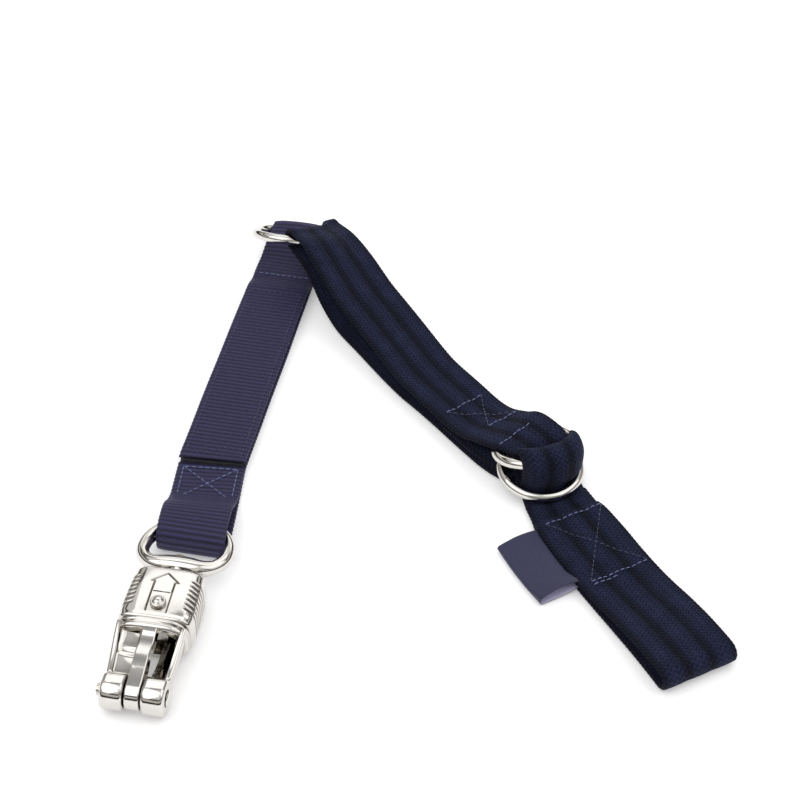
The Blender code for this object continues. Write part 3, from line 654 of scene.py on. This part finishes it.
def eye_path():
    """The eye's middle line: a round far end, two corners and the straight under the boss."""
    far = EYE_FAR_V + EYE_ARC_R
    corner = 9.5 * MM
    straight = EYE_ARC_R - corner

    def arc(x, y, radius, start, turn, parts, first=0):
        angles = [start + turn * index / parts for index in range(first, parts + 1)]
        return [(x + radius * math.cos(angle), y + radius * math.sin(angle)) for angle in angles]

    path = arc(0.0, far, EYE_ARC_R, math.pi, math.pi, 48)
    path += arc(straight, EYE_BASE_V - corner, corner, 0.0, 0.5 * math.pi, 12, 1)
    path += [(straight - 2 * straight * index / 17, EYE_BASE_V) for index in range(1, 17)]
    return path + arc(-straight, EYE_BASE_V - corner, corner, 0.5 * math.pi, 0.5 * math.pi, 12)


def snap_eye(mat):
    """The D-shaped eye: a wire that swells into a broad boss, with the swivel's head."""
    path = eye_path()
    boss_half, boss_deep = 12.5 * MM, 5 * MM
    slope = math.tan(math.radians(EYE_TILT))
    around = 24
    rows = []
    for index, (x, y) in enumerate(path):
        ax, ay = path[index - 1]
        bx, by = path[(index + 1) % len(path)]
        size = math.hypot(bx - ax, by - ay)
        nx, ny = (by - ay) / size, -(bx - ax) / size
        boss = 0.0
        if y > EYE_BASE_V - boss_deep:
            boss = max(0.0, 1 - (abs(x) / boss_half) ** 2)
        inward = EYE_WIRE_R + 0.2 * MM + 2.2 * MM * boss
        outward = EYE_WIRE_R + 0.5 * MM * boss
        tall = EYE_WIRE_R + 0.1 * MM + 1.1 * MM * boss
        z = AXIS_Z + (y - EYE_BASE_V) * slope
        points = []
        for k in range(around):
            a = 2 * math.pi * k / around
            reach = (outward if math.cos(a) > 0 else inward) * math.cos(a)
            points.append((x + nx * reach, y + ny * reach, z + tall * math.sin(a)))
        rows.append(points)
    bm = bmesh.new()
    made = [[bm.verts.new(p) for p in points] for points in rows]
    join_rows(bm, made + made[:1])
    for radius, low, high in ((2.6 * MM, EYE_BASE_V, 3.0 * MM), (4.2 * MM, 3.0 * MM, 5.4 * MM)):
        skin(bm, [oval(radius, radius, 2.0, around, low), oval(radius, radius, 2.0, around, high)])
    head = []
    for turn in np.linspace(0.02, 1.0, 7) * math.pi / 2:
        r = 3.2 * MM * math.sin(turn)
        head.append(oval(r, r, 2.0, around, EYE_BASE_V - 2.9 * MM - 1.6 * MM * math.cos(turn)))
    skin(bm, head)
    return snap_piece("snap_eye_ring", bm, mat, "eye", "snap_eye", 50)


def segment_gap(x, y, a, b):
    """Distance from (x, y) to the segment from a to b, as arrays."""
    ax, ay = a
    bx, by = b
    dx, dy = bx - ax, by - ay
    t = np.clip(((x - ax) * dx + (y - ay) * dy) / (dx * dx + dy * dy), 0, 1)
    return np.hypot(x - ax - t * dx, y - ay - t * dy)


def squared(values, power):
    """A cosine or sine, bent towards a squarer outline."""
    return np.sign(values) * np.abs(values) ** (2 / power)


def even_angles(half_w, half_h, power, count):
    """Angles that space points evenly along a squared oval."""
    dense = np.linspace(0, 2 * np.pi, 40001)
    x = half_w * squared(np.cos(dense), power)
    z = half_h * squared(np.sin(dense), power)
    travelled = np.append(0.0, np.cumsum(np.hypot(np.diff(x), np.diff(z))))
    return np.interp(travelled[-1] * np.arange(count) / count, travelled, dense)


def sleeve_engraving(x, z, v, half_h):
    """How deep the grooves, the arrow and its window are cut at a row, and the painted shade in the grooves
    and the arrow's lines.
    """
    reach = np.abs(x) - 8.8 * MM
    fade = np.clip(reach / (1.2 * MM), 0, 1) * (z > -5.0 * MM)
    cut = np.zeros(len(x))
    for groove in range(GROOVES):
        place = v - (GROOVE_FIRST + GROOVE_PITCH * groove) - 0.25 * reach
        cut = np.maximum(cut, fade * np.exp(-(place / GROOVE_WIDE) ** 2) * GROOVE_DEEP)
    lines = []
    for side in (-1, 1):
        barb, knee = (side * ARROW_BARB, ARROW_KNEE), (side * ARROW_SHAFT, ARROW_KNEE)
        lines += [((0.0, ARROW_APEX), barb), (barb, knee), (knee, (side * ARROW_SHAFT, ARROW_FOOT))]
    gap = np.min([segment_gap(x, np.full(len(x), v), a, b) for a, b in lines], axis=0)
    face = z > 0.5 * half_h
    cut = np.maximum(cut, np.where(face, np.exp(-(gap / ARROW_WIDE) ** 2), 0.0) * ARROW_DEEP)
    # Painted shade: the deeper a groove or an arrow line is cut, the darker the metal's colour there,
    # standing for the shade that falls in it.
    groove_shade = np.clip(cut / (0.55 * MM), 0, 1)
    inside = face & (np.abs(x) < ARROW_SHAFT) & (v > WINDOW_V) & (v < ARROW_FOOT)
    return np.maximum(cut, np.where(inside, WINDOW_DEEP, 0.0)), groove_shade


def release_sleeve(mat):
    """The oval sleeve with slanted finger grooves on both flanks and an engraved arrow."""
    around, along = 420, 140
    wall_v = 1.4 * MM
    angle = even_angles(12.5, 8.5, SLEEVE_POWER, around)
    c, s = np.cos(angle), np.sin(angle)
    # The second list collects each row's painted shade for the engraved cuts.
    rows, groove_shade = [], []
    for v in np.linspace(0.0, SLEEVE_END, along):
        t = v / SLEEVE_END
        narrow = 0.4 * max(0.0, t - 0.85) / 0.15
        half_w = (12.5 + 0.9 * math.sin(min(t * 1.25, 1.0) * math.pi / 2) - narrow) * MM
        half_h = (8.2 + 0.7 * math.sin(math.pi * min(t * 1.1, 1.0))) * MM
        lip = max(0.0, 1 - v / (2.2 * MM))
        rim = max(0.0, 1 - (SLEEVE_END - v) / (0.9 * MM))
        shrink = 1.3 * MM * (1 - math.sqrt(max(0.0, 1 - lip * lip))) + 0.6 * MM * rim * rim
        x = (half_w - shrink) * squared(c, SLEEVE_POWER)
        z = (half_h - shrink) * squared(s, SLEEVE_POWER)
        cut, dark = sleeve_engraving(x, z, v, half_h)
        groove_shade.append(dark)
        rows.append([(x[k] - c[k] * cut[k], v, AXIS_Z + z[k] - s[k] * cut[k]) for k in range(around)])

    def loop(half_w, half_h, power, v):
        x, z = half_w * squared(c, power), half_h * squared(s, power)
        return [(x[k], v, AXIS_Z + z[k]) for k in range(around)]

    rows += [loop(10.4 * MM, 7.0 * MM, SLEEVE_POWER, v) for v in (SLEEVE_END, SLEEVE_END - 6 * MM, wall_v)]
    rows += [loop(6.2 * MM, 6.2 * MM, 2.0, v) for v in (wall_v, 0.0)]
    bm = bmesh.new()
    made = skin(bm, rows, caps=False)
    join_rows(bm, [made[-1], made[0]])
    groove_shade.append(np.zeros(around * (len(rows) - along)))
    return snap_piece("release_sleeve_shell", bm, mat, "sleeve", "release_sleeve", 60,
                      groove_shade=np.concatenate(groove_shade).astype(np.float32))


def guide_button(mat):
    """The domed button that stands at the arrow's foot."""
    base, around = AXIS_Z + 8.3 * MM, 32
    profile = ((2.75, 0.0), (2.75, 0.95), (2.6, 1.3), (2.2, 1.45), (2.0, 1.3), (1.9, 1.35), (1.6, 1.9),
               (1.1, 2.2), (0.5, 2.35), (0.08, 2.38))
    turns = [2 * math.pi * k / around for k in range(around)]
    bm = bmesh.new()
    skin(bm, [[(r * MM * math.cos(a), BUTTON_V + r * MM * math.sin(a), base + h * MM) for a in turns]
              for r, h in profile])
    return snap_piece("guide_button_dome", bm, mat, "sleeve", "guide_button", 60)


def snap_casting(mat):
    """Barrel, two rolled collars, the spoon-shaped wings and the knuckles."""
    bm = bmesh.new()
    skin(bm, [oval(5.6 * MM, 5.6 * MM, 2.0, 40, v) for v in (6.2 * MM, 14.0 * MM)])
    collars = ((14.0, 9.7, 6.5), (21.5, 9.7, 6.5), (22.4, 10.4, 7.0), (24.1, 11.2, 7.4), (24.2, 12.3, 8.2),
               (24.6, 12.7, 8.5), (25.2, 12.8, 8.5), (25.6, 12.5, 8.2), (25.9, 11.7, 7.7), (26.1, 11.6, 7.6),
               (26.3, 12.2, 8.0), (26.8, 12.6, 8.3), (27.5, 12.6, 8.2), (28.1, 12.1, 7.8), (28.5, 11.2, 7.0))
    mouth = ((28.5, 9.4, 5.6), (24.9, 8.4, 5.0), (24.3, 1.0, 1.0))
    rows = [oval(w * MM, h * MM, 3.0, 96, v * MM) for v, w, h in collars]
    skin(bm, rows + [oval(w * MM, h * MM, 2.6, 96, v * MM) for v, w, h in mouth])
    knuckle = ((3.1, 5.0), (3.25, 5.8), (3.7, 6.3), (4.4, 6.45), (9.6, 6.45), (10.5, 6.25), (11.0, 5.7),
               (11.15, 4.8))
    for side in (-1, 1):
        wing(bm, side)
        skin(bm, turned_on_pin([(side * x, r) for x, r in knuckle], 48, flat=0.05))
    return snap_piece("snap_casting", bm, mat, "snap", "snap_body", 45)


def wing(bm, side):
    """One side of the hook: a dished wall that tapers from the collar to its knuckle.

    The one towards +x has its floor raised, with two soft steps."""
    start, end = 26.5, 49.5
    quarter = [-math.pi / 2 + (math.pi / 2) * k / 8 for k in range(9)]
    rows = []
    for v in np.linspace(start, end, 40):
        t = (v - start) / (end - start)
        outer = 12.1 - 1.5 * t ** 1.6
        dip = 5.4 * math.sin(min(t * 1.15, 1.0) * math.pi / 2) ** 1.3
        rim = 15.8 - dip + 1.2 * max(0.0, t - 0.8) / 0.2
        wide = 1.5 + 0.5 * math.sin(t * math.pi)
        foot = 3.9 - 0.5 * math.sin(t * math.pi)
        low = 1.2 + 0.9 * t
        lift = 0.0
        if side > 0:
            lift = 5.2 - 0.5 * (math.tanh((t - 0.36) * 40) + math.tanh((t - 0.68) * 40))
        floor = low + wide + 2.2 + 2.6 * (1 - math.sin(min(t * 1.3, 1.0) * math.pi)) + lift
        floor = min(floor, rim - 0.7)
        profile = [(foot, low)]
        for a in quarter[1:]:
            profile.append((foot + (outer - foot) * math.cos(a) ** 0.8,
                            low + (rim - low) * (1 + math.sin(a)) ** 1.3))
        profile += [(outer - 0.2, rim + 0.35), (outer - 0.5 * wide, rim + 0.55),
                    (outer - wide + 0.1, rim + 0.35)]
        for a in reversed(quarter[1:]):
            profile.append((foot + (outer - wide - foot) * math.cos(a) ** 0.9,
                            floor + (rim - floor) * (1 + math.sin(a)) ** 1.2))
        profile.append((foot, floor))
        rows.append([(side * x * MM, v * MM, z * MM) for x, z in profile])
    skin(bm, rows)


def hinge_pin(mat):
    """The pin across both knuckles, with a rivet head at each end, the longer one at +x."""
    profile = ((-12.1, 0.9), (-12.0, 2.2), (-11.7, 2.9), (-11.4, 3.1), (-11.3, 2.9), (-11.2, 1.9),
               (11.1, 1.9), (11.2, 2.9), (12.0, 2.9), (12.2, 2.6), (12.25, 2.1), (13.0, 2.1),
               (13.2, 1.7), (13.25, 0.9))
    bm = bmesh.new()
    skin(bm, turned_on_pin(profile, 32))
    return snap_piece("hinge_pin_rivet", bm, mat, "snap", "hinge_pin", 50)


def gate(mat):
    """The gate arm: a flat tongue, a kinked shank and an eye that turns on the pin."""
    tip = SLEEVE_LEN + 1.6 * MM
    top = AXIS_Z + 7.6 * MM
    eye_r, half = 5.6 * MM, 2.6 * MM
    outline = [(tip, top), (tip + 4.6 * MM, top), (tip + 6.2 * MM, top - 0.5 * MM),
               (tip + 9.0 * MM, top - 1.6 * MM), (PIN_V - 12 * MM, PIN_Z + 8.4 * MM),
               (PIN_V - 6 * MM, PIN_Z + 7.0 * MM)]
    for index in range(15):
        angle = math.radians(98 - 250 * index / 14)
        outline.append((PIN_V + eye_r * math.cos(angle), PIN_Z + eye_r * math.sin(angle)))
    outline += [(PIN_V - 6.6 * MM, PIN_Z + 0.6 * MM), (PIN_V - 12 * MM, PIN_Z + 4.0 * MM),
                (tip + 8.2 * MM, top - 5.6 * MM), (tip + 4.4 * MM, top - 4.4 * MM), (tip, top - 3.4 * MM)]
    bm = bmesh.new()
    skin(bm, [[(x, y, z) for y, z in outline] for x in (-half, half)])
    return snap_piece("gate_arm", bm, mat, "gate", "gate", 40, 0.5 * MM)


# ---- label ----

def label(line, outside, inside):
    """The folded tag: one strip of woven cloth, doubled over and sewn into the tail's edge."""
    middle_s, long_half = 198.8 * MM, 15.2 * MM
    reach, fold_r = 14.8 * MM, 1.1 * MM
    seam = -15.2 * MM
    ground = 0.5 * MM
    leaf, turn, length = 14, 7, 34
    profile = []
    for t in np.linspace(0, 1, leaf):
        profile.append((seam - reach * t, 3.6 * MM + 0.9 * MM * math.sin(t * math.pi) - 0.9 * MM * t))
    for index in range(1, turn + 1):
        a = math.pi / 2 + math.pi * index / (turn + 1)
        profile.append((seam - reach + fold_r * math.cos(a), 1.6 * MM + fold_r * math.sin(a)))
    for t in np.linspace(1, 0, leaf):
        profile.append((seam - reach * t, ground + 1.3 * MM * (1 - t) ** 2))
    upper, last = leaf + turn - 1, len(profile) - 1
    verts = []
    for k in np.arange(length + 1) / length:
        flare = 1 + 0.55 * max(0.0, k - 0.75) / 0.25
        shift = 1.2 * MM * math.sin(k * math.pi)
        for index, (a, z) in enumerate(profile):
            share = index / upper if index < upper else (last - index) / leaf
            gap = max(z - ground, 0.0) * (flare if index < upper else 1.0)
            place = middle_s - long_half + 2 * long_half * k
            verts.append(tuple(spot(line, place, a - shift * share * 0.6, ground + gap)))
    width = len(profile)
    faces = [(r * width + c, r * width + c + 1, (r + 1) * width + c + 1, (r + 1) * width + c)
             for r in range(length) for c in range(width - 1)]
    mesh = bpy.data.meshes.new("label_cloth")
    mesh.from_pydata(verts, [], faces)
    obj = finish_mesh("label_folded", mesh, outside)
    mesh.materials.append(inside)
    if sum(p.normal.z for p in mesh.polygons if p.center.z > 2.6 * MM) < 0:
        mesh.flip_normals()
    mod = obj.modifiers.new("cloth", "SOLIDIFY")
    mod.thickness = 0.3 * MM
    mod.offset = -1.0
    mod.material_offset = 1
    mod.use_rim = True
    add_piece(obj, "label", "label_cloth", "label_tag")


# ---- materials ----

def fill_ramp(bar, stops):
    """Sets a colour ramp's stops from (place, colour) pairs."""
    while len(bar.elements) < len(stops):
        bar.elements.new(0.5)
    for element, (place, colour) in zip(bar.elements, stops):
        element.position = place
        element.color = (*colour, 1.0)


class Graph:
    """A small helper that wires a material's nodes."""

    def __init__(self, name):
        self.mat = bpy.data.materials.new(name)
        self.mat.use_nodes = True
        self.tree = self.mat.node_tree
        self.shader = self.tree.nodes["Principled BSDF"]

    def node(self, kind, **values):
        made = self.tree.nodes.new(kind)
        for key, value in values.items():
            setattr(made, key, value)
        return made

    def feed(self, socket, value):
        if isinstance(value, (int, float)):
            socket.default_value = value
        else:
            self.tree.links.new(value, socket)

    def math(self, operation, a, b=0.0):
        made = self.node("ShaderNodeMath", operation=operation)
        self.feed(made.inputs[0], a)
        self.feed(made.inputs[1], b)
        return made.outputs[0]

    def add(self, a, b):
        return self.math("ADD", a, b)

    def times(self, a, b):
        return self.math("MULTIPLY", a, b)

    def web_mm(self):
        """Across and along a web, in millimetres."""
        coords = self.node("ShaderNodeUVMap", uv_map="web")
        split = self.node("ShaderNodeSeparateXYZ")
        self.feed(split.inputs[0], coords.outputs[0])
        return self.times(split.outputs[0], 1 / MM), self.times(split.outputs[1], 1 / MM)

    def noise(self, scale, detail=2.0):
        """Noise in object millimetres."""
        coords = self.node("ShaderNodeTexCoord")
        place = self.node("ShaderNodeMapping")
        place.inputs["Scale"].default_value = (1 / MM, 1 / MM, 1 / MM)
        self.feed(place.inputs[0], coords.outputs["Object"])
        made = self.node("ShaderNodeTexNoise")
        made.inputs["Scale"].default_value = scale
        made.inputs["Detail"].default_value = detail
        self.feed(made.inputs["Vector"], place.outputs[0])
        return made.outputs["Fac"]

    def ramp(self, value, *stops):
        made = self.node("ShaderNodeValToRGB")
        self.feed(made.inputs[0], value)
        fill_ramp(made.color_ramp, stops)
        return made.outputs[0]

    def bump(self, height, distance, strength=1.0):
        made = self.node("ShaderNodeBump")
        made.inputs["Distance"].default_value = distance
        made.inputs["Strength"].default_value = strength
        self.feed(made.inputs["Height"], height)
        return made.outputs[0]

    def set(self, **values):
        """Sets or links the shader's sockets, and returns the material."""
        for key, value in values.items():
            socket = self.shader.inputs[key.replace("_", " ")]
            if isinstance(value, tuple):
                socket.default_value = (*value, 1.0)
            else:
                self.feed(socket, value)
        return self.mat


def cotton_material():
    """Soft twill: slanted strands in narrow columns, with a painted highlight along the ridges and painted
    shade in the valleys between them.
    """
    column_mm, ridges = 1.05, 1.5
    g = Graph("cotton_herringbone")
    across, along = g.web_mm()
    slant = g.add(g.times(along, 0.62), g.times(g.math("PINGPONG", across, column_mm), 0.75))
    strand = g.math("SINE", g.times(slant, 2 * math.pi))
    seam = g.math("COSINE", g.times(across, math.pi / column_mm))
    height = g.add(g.times(strand, 0.5), g.times(seam, 0.10))
    fuzz = g.noise(2.3, 3.0)
    cloud = g.noise(0.16, 3.0)
    mixed = g.add(g.add(g.times(height, 0.26), g.times(fuzz, 0.62)), g.times(cloud, 0.35))
    # Painted light: the colour is lighter along the three ridges' crests and darker in the valleys, standing
    # for how light falls on the ridged face.
    ridge = g.math("ABSOLUTE", g.math("COSINE", g.times(across, ridges * math.pi / (WEB_HALF / MM))))
    painted_ridge_light = g.times(g.math("POWER", ridge, 0.6), 0.46)
    tone = g.math("SUBTRACT", g.add(mixed, painted_ridge_light), 0.30)
    return g.set(Base_Color=g.ramp(tone, (0.22, (0.0008, 0.001, 0.004)), (0.55, (0.0065, 0.0085, 0.027)),
                                   (0.95, (0.026, 0.034, 0.090))),
                 Normal=g.bump(g.add(g.times(height, 0.9), fuzz), 0.34 * MM),
                 Roughness=0.86, Sheen_Weight=0.05, Sheen_Roughness=0.4, Sheen_Tint=(0.35, 0.42, 0.75),
                 Specular_IOR_Level=0.2)


def nylon_material():
    """Ribbed nylon: ribs across the web painted pale as a highlight, with painted shade between them, and
    fine slanted yarn over them.
    """
    yarn_mm = 0.62
    g = Graph("nylon_ribbed")
    across, along = g.web_mm()
    # Painted light: the colour is paler on each rib and darker between the ribs, standing for the light and
    # shade on the ribbed face.
    rib = g.math("ABSOLUTE", g.math("COSINE", g.times(along, math.pi / (RIB_PITCH / MM))))
    yarn = g.math("SINE", g.times(g.add(across, g.times(along, 0.45)), 2 * math.pi / yarn_mm))
    fuzz = g.noise(1.6)
    tone = g.add(g.add(g.times(rib, 0.5), g.times(yarn, 0.12)), g.times(fuzz, 0.30))
    return g.set(Base_Color=g.ramp(tone, (0.15, (0.007, 0.006, 0.020)), (0.55, (0.025, 0.021, 0.072)),
                                   (1.0, (0.080, 0.076, 0.210))),
                 Normal=g.bump(g.add(g.times(yarn, 0.5), fuzz), 0.16 * MM, 0.8),
                 Roughness=0.52, Sheen_Weight=0.08, Sheen_Roughness=0.35, Sheen_Tint=(0.5, 0.5, 0.9),
                 Specular_IOR_Level=0.35)


def fibre_material(name, low, high, scale, detail, depth, strength, **values):
    """A plain fibre: two tones of one noise, with its bump."""
    g = Graph(name)
    fuzz = g.noise(scale, detail)
    return g.set(Base_Color=g.ramp(fuzz, (0.3, low), (0.7, high)), Normal=g.bump(fuzz, depth, strength),
                 **values)


def tape_material():
    return fibre_material("hook_and_loop_pile", (0.004, 0.004, 0.007), (0.022, 0.022, 0.032), 3.2, 2.0,
                          0.5 * MM, 1.0, Roughness=0.9, Sheen_Weight=0.2, Specular_IOR_Level=0.2)


def thread_material(name, low, high):
    return fibre_material(name, low, high, 4.0, 1.0, 0.1 * MM, 0.6, Roughness=0.5, Sheen_Weight=0.3)


def label_material(name, low, high):
    return fibre_material(name, low, high, 2.6, 2.0, 0.1 * MM, 0.7, Roughness=0.6, Sheen_Weight=0.15)


def nickel_material():
    """Polished plate: faint smears, painted shade in the engraved cuts, and painted shade from ambient
    occlusion in the hollows.
    """
    g = Graph("nickel_polished")
    smear = g.noise(0.20, 3.0)
    pits = g.noise(2.4)
    # Painted shade: the engraved cuts' attribute darkens the colour in the grooves and the arrow's lines, and
    # raises their roughness.
    groove_shade = g.node("ShaderNodeAttribute", attribute_name="groove_shade").outputs["Fac"]
    # Painted shade: ambient occlusion darkens the colour in the hollows and between the parts.
    hollow_shade = g.node("ShaderNodeAmbientOcclusion", samples=8)
    hollow_shade.inputs["Distance"].default_value = 5.0 * MM
    tone = g.times(g.add(g.times(smear, 0.22), 0.72), g.math("POWER", hollow_shade.outputs["AO"], 0.5))
    tone = g.times(tone, g.math("SUBTRACT", 1.0, g.times(groove_shade, 0.85)))
    return g.set(Base_Color=g.ramp(tone, (0.0, (0.035, 0.028, 0.022)), (0.4, (0.34, 0.31, 0.27)),
                                   (0.7, (0.62, 0.595, 0.555)), (0.95, (0.74, 0.72, 0.69))),
                 Roughness=g.add(g.times(smear, 0.06), g.add(g.times(groove_shade, 0.35), 0.06)),
                 Normal=g.bump(g.add(smear, g.times(pits, 0.06)), 0.08 * MM, 0.4), Metallic=1.0)


def spring_material():
    g = Graph("spring_steel")
    drawn = g.noise(1.2)
    return g.set(Base_Color=g.ramp(drawn, (0.3, (0.28, 0.28, 0.29)), (0.7, (0.42, 0.42, 0.43))),
                 Roughness=g.add(g.times(drawn, 0.2), 0.22), Metallic=1.0)


# ---- studio ----

def add_object(name, data):
    obj = bpy.data.objects.new(name, data)
    bpy.context.scene.collection.objects.link(obj)
    return obj


def camera():
    """The photograph's view: 42 degrees down, from 0.85 m."""
    picture, sensor, focal = 800.0, 36.0, 2185.0
    data = bpy.data.cameras.new("camera")
    data.sensor_width = sensor
    data.lens = focal / picture * sensor
    data.clip_start, data.clip_end = 0.01, 20.0
    tilt = math.radians(42.0)
    aim = Vector((-7.4 * MM, 28.6 * MM, 0.0))
    made = add_object("camera", data)
    made.location = aim + 0.850 * Vector((0, -math.cos(tilt), math.sin(tilt)))
    made.rotation_euler = (math.radians(90) - tilt, 0, 0)
    bpy.context.scene.camera = made


def floor():
    size = 6.0
    mesh = bpy.data.meshes.new("floor")
    corners = [(-size, -size, 0), (size, -size, 0), (size, size, 0), (-size, size, 0)]
    mesh.from_pydata(corners, [], [(0, 1, 2, 3)])
    mesh.materials.append(Graph("pale_floor").set(
        Base_Color=(0.92, 0.92, 0.93), Roughness=0.9, Specular_IOR_Level=0.0,
        Emission_Color=(1.0, 1.0, 1.0), Emission_Strength=0.30))
    made = add_object("floor", mesh)
    made.location.z = -0.25 * MM


def surroundings():
    """A pale world with dark bands low down and at mid height, for the metal to mirror."""
    world = bpy.data.worlds.new("studio")
    bpy.context.scene.world = world
    world.use_nodes = True
    tree = world.node_tree
    background = tree.nodes["Background"]
    coords = tree.nodes.new("ShaderNodeTexCoord")
    split = tree.nodes.new("ShaderNodeSeparateXYZ")
    bar = tree.nodes.new("ShaderNodeValToRGB")
    tree.links.new(coords.outputs["Generated"], split.inputs[0])
    tree.links.new(split.outputs[2], bar.inputs[0])
    tree.links.new(bar.outputs[0], background.inputs[0])
    fill_ramp(bar.color_ramp, (
        (0.0, (0.95, 0.95, 0.95)), (0.05, (0.03, 0.027, 0.025)), (0.20, (0.02, 0.018, 0.016)),
        (0.27, (0.75, 0.72, 0.66)), (0.40, (0.90, 0.88, 0.85)), (0.46, (0.10, 0.09, 0.08)),
        (0.53, (0.08, 0.07, 0.065)), (0.60, (1.0, 1.0, 1.0)), (0.80, (1.0, 1.0, 1.0)),
        (0.90, (0.5, 0.5, 0.5)), (1.0, (1.0, 1.0, 1.0))))
    background.inputs[1].default_value = 0.75


def lamps():
    lights = (("key", (-0.8, -0.5, 1.4), 10.0, 1.7), ("fill", (0.9, -0.2, 1.2), 6.0, 1.5),
              ("back", (0.1, 1.2, 1.0), 5.0, 1.4))
    for name, place, power, width in lights:
        data = bpy.data.lights.new(name, "AREA")
        data.energy = power
        data.size = width
        lamp = add_object(name, data)
        lamp.location = place
        lamp.rotation_euler = (-Vector(place)).to_track_quat("-Z", "Y").to_euler()


# ---- the whole object ----

def rings(line, mat):
    """Both adjuster rings, one leaning over the other, and the upper ring."""
    x, y, heading = at(line, ADJUSTER_S)
    forward = Vector((math.cos(math.radians(heading)), math.sin(math.radians(heading)), 0))
    lower = Vector((x, y, RING_2_Z))
    upper = Vector((x, y, RING_1_Z)) - forward * RING_1_SETBACK
    wire_ring("ring_lower", "adjuster_ring_lower", lower, heading, RING_2_TILT, mat)
    wire_ring("ring_upper", "adjuster_ring_upper", upper, heading, RING_1_TILT, mat)
    wire_ring("ring_top", "upper_ring", Vector(UPPER_RING), UPPER_RING_HEADING, -UPPER_RING_TILT, mat)


def main():
    camera()
    floor()
    surroundings()
    lamps()
    bpy.context.scene.view_settings.view_transform = "Standard"
    cotton = cotton_material()
    nylon = nylon_material()
    pale = thread_material("thread_pale", (0.10, 0.13, 0.30), (0.22, 0.27, 0.52))
    dark = thread_material("thread_dark", (0.014, 0.016, 0.05), (0.04, 0.045, 0.12))
    nickel = nickel_material()
    cotton_line = ground_line(FOLD_START, COTTON_LEGS)
    nylon_line = ground_line(NYLON_START, NYLON_LEGS)
    cotton_strap(cotton_line, cotton)
    cotton_roll(cotton_line, cotton)
    cotton_tail(cotton_line, cotton)
    nylon_flap(nylon_line, nylon)
    nylon_lower(nylon_line, nylon)
    tapes(nylon_line, tape_material())
    rings(cotton_line, nickel)
    cotton_stitching(cotton_line, pale, dark)
    nylon_stitching(nylon_line, pale, dark)
    for build in (snap_eye, release_sleeve, guide_button, snap_casting, hinge_pin, gate):
        build(nickel)
    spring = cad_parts["sleeve_spring"]
    spring.data.materials.clear()
    spring.data.materials.append(spring_material())
    label(cotton_line, label_material("label_outside", (0.011, 0.011, 0.046), (0.022, 0.022, 0.078)),
          label_material("label_inside", (0.42, 0.40, 0.55), (0.55, 0.53, 0.68)))


main()
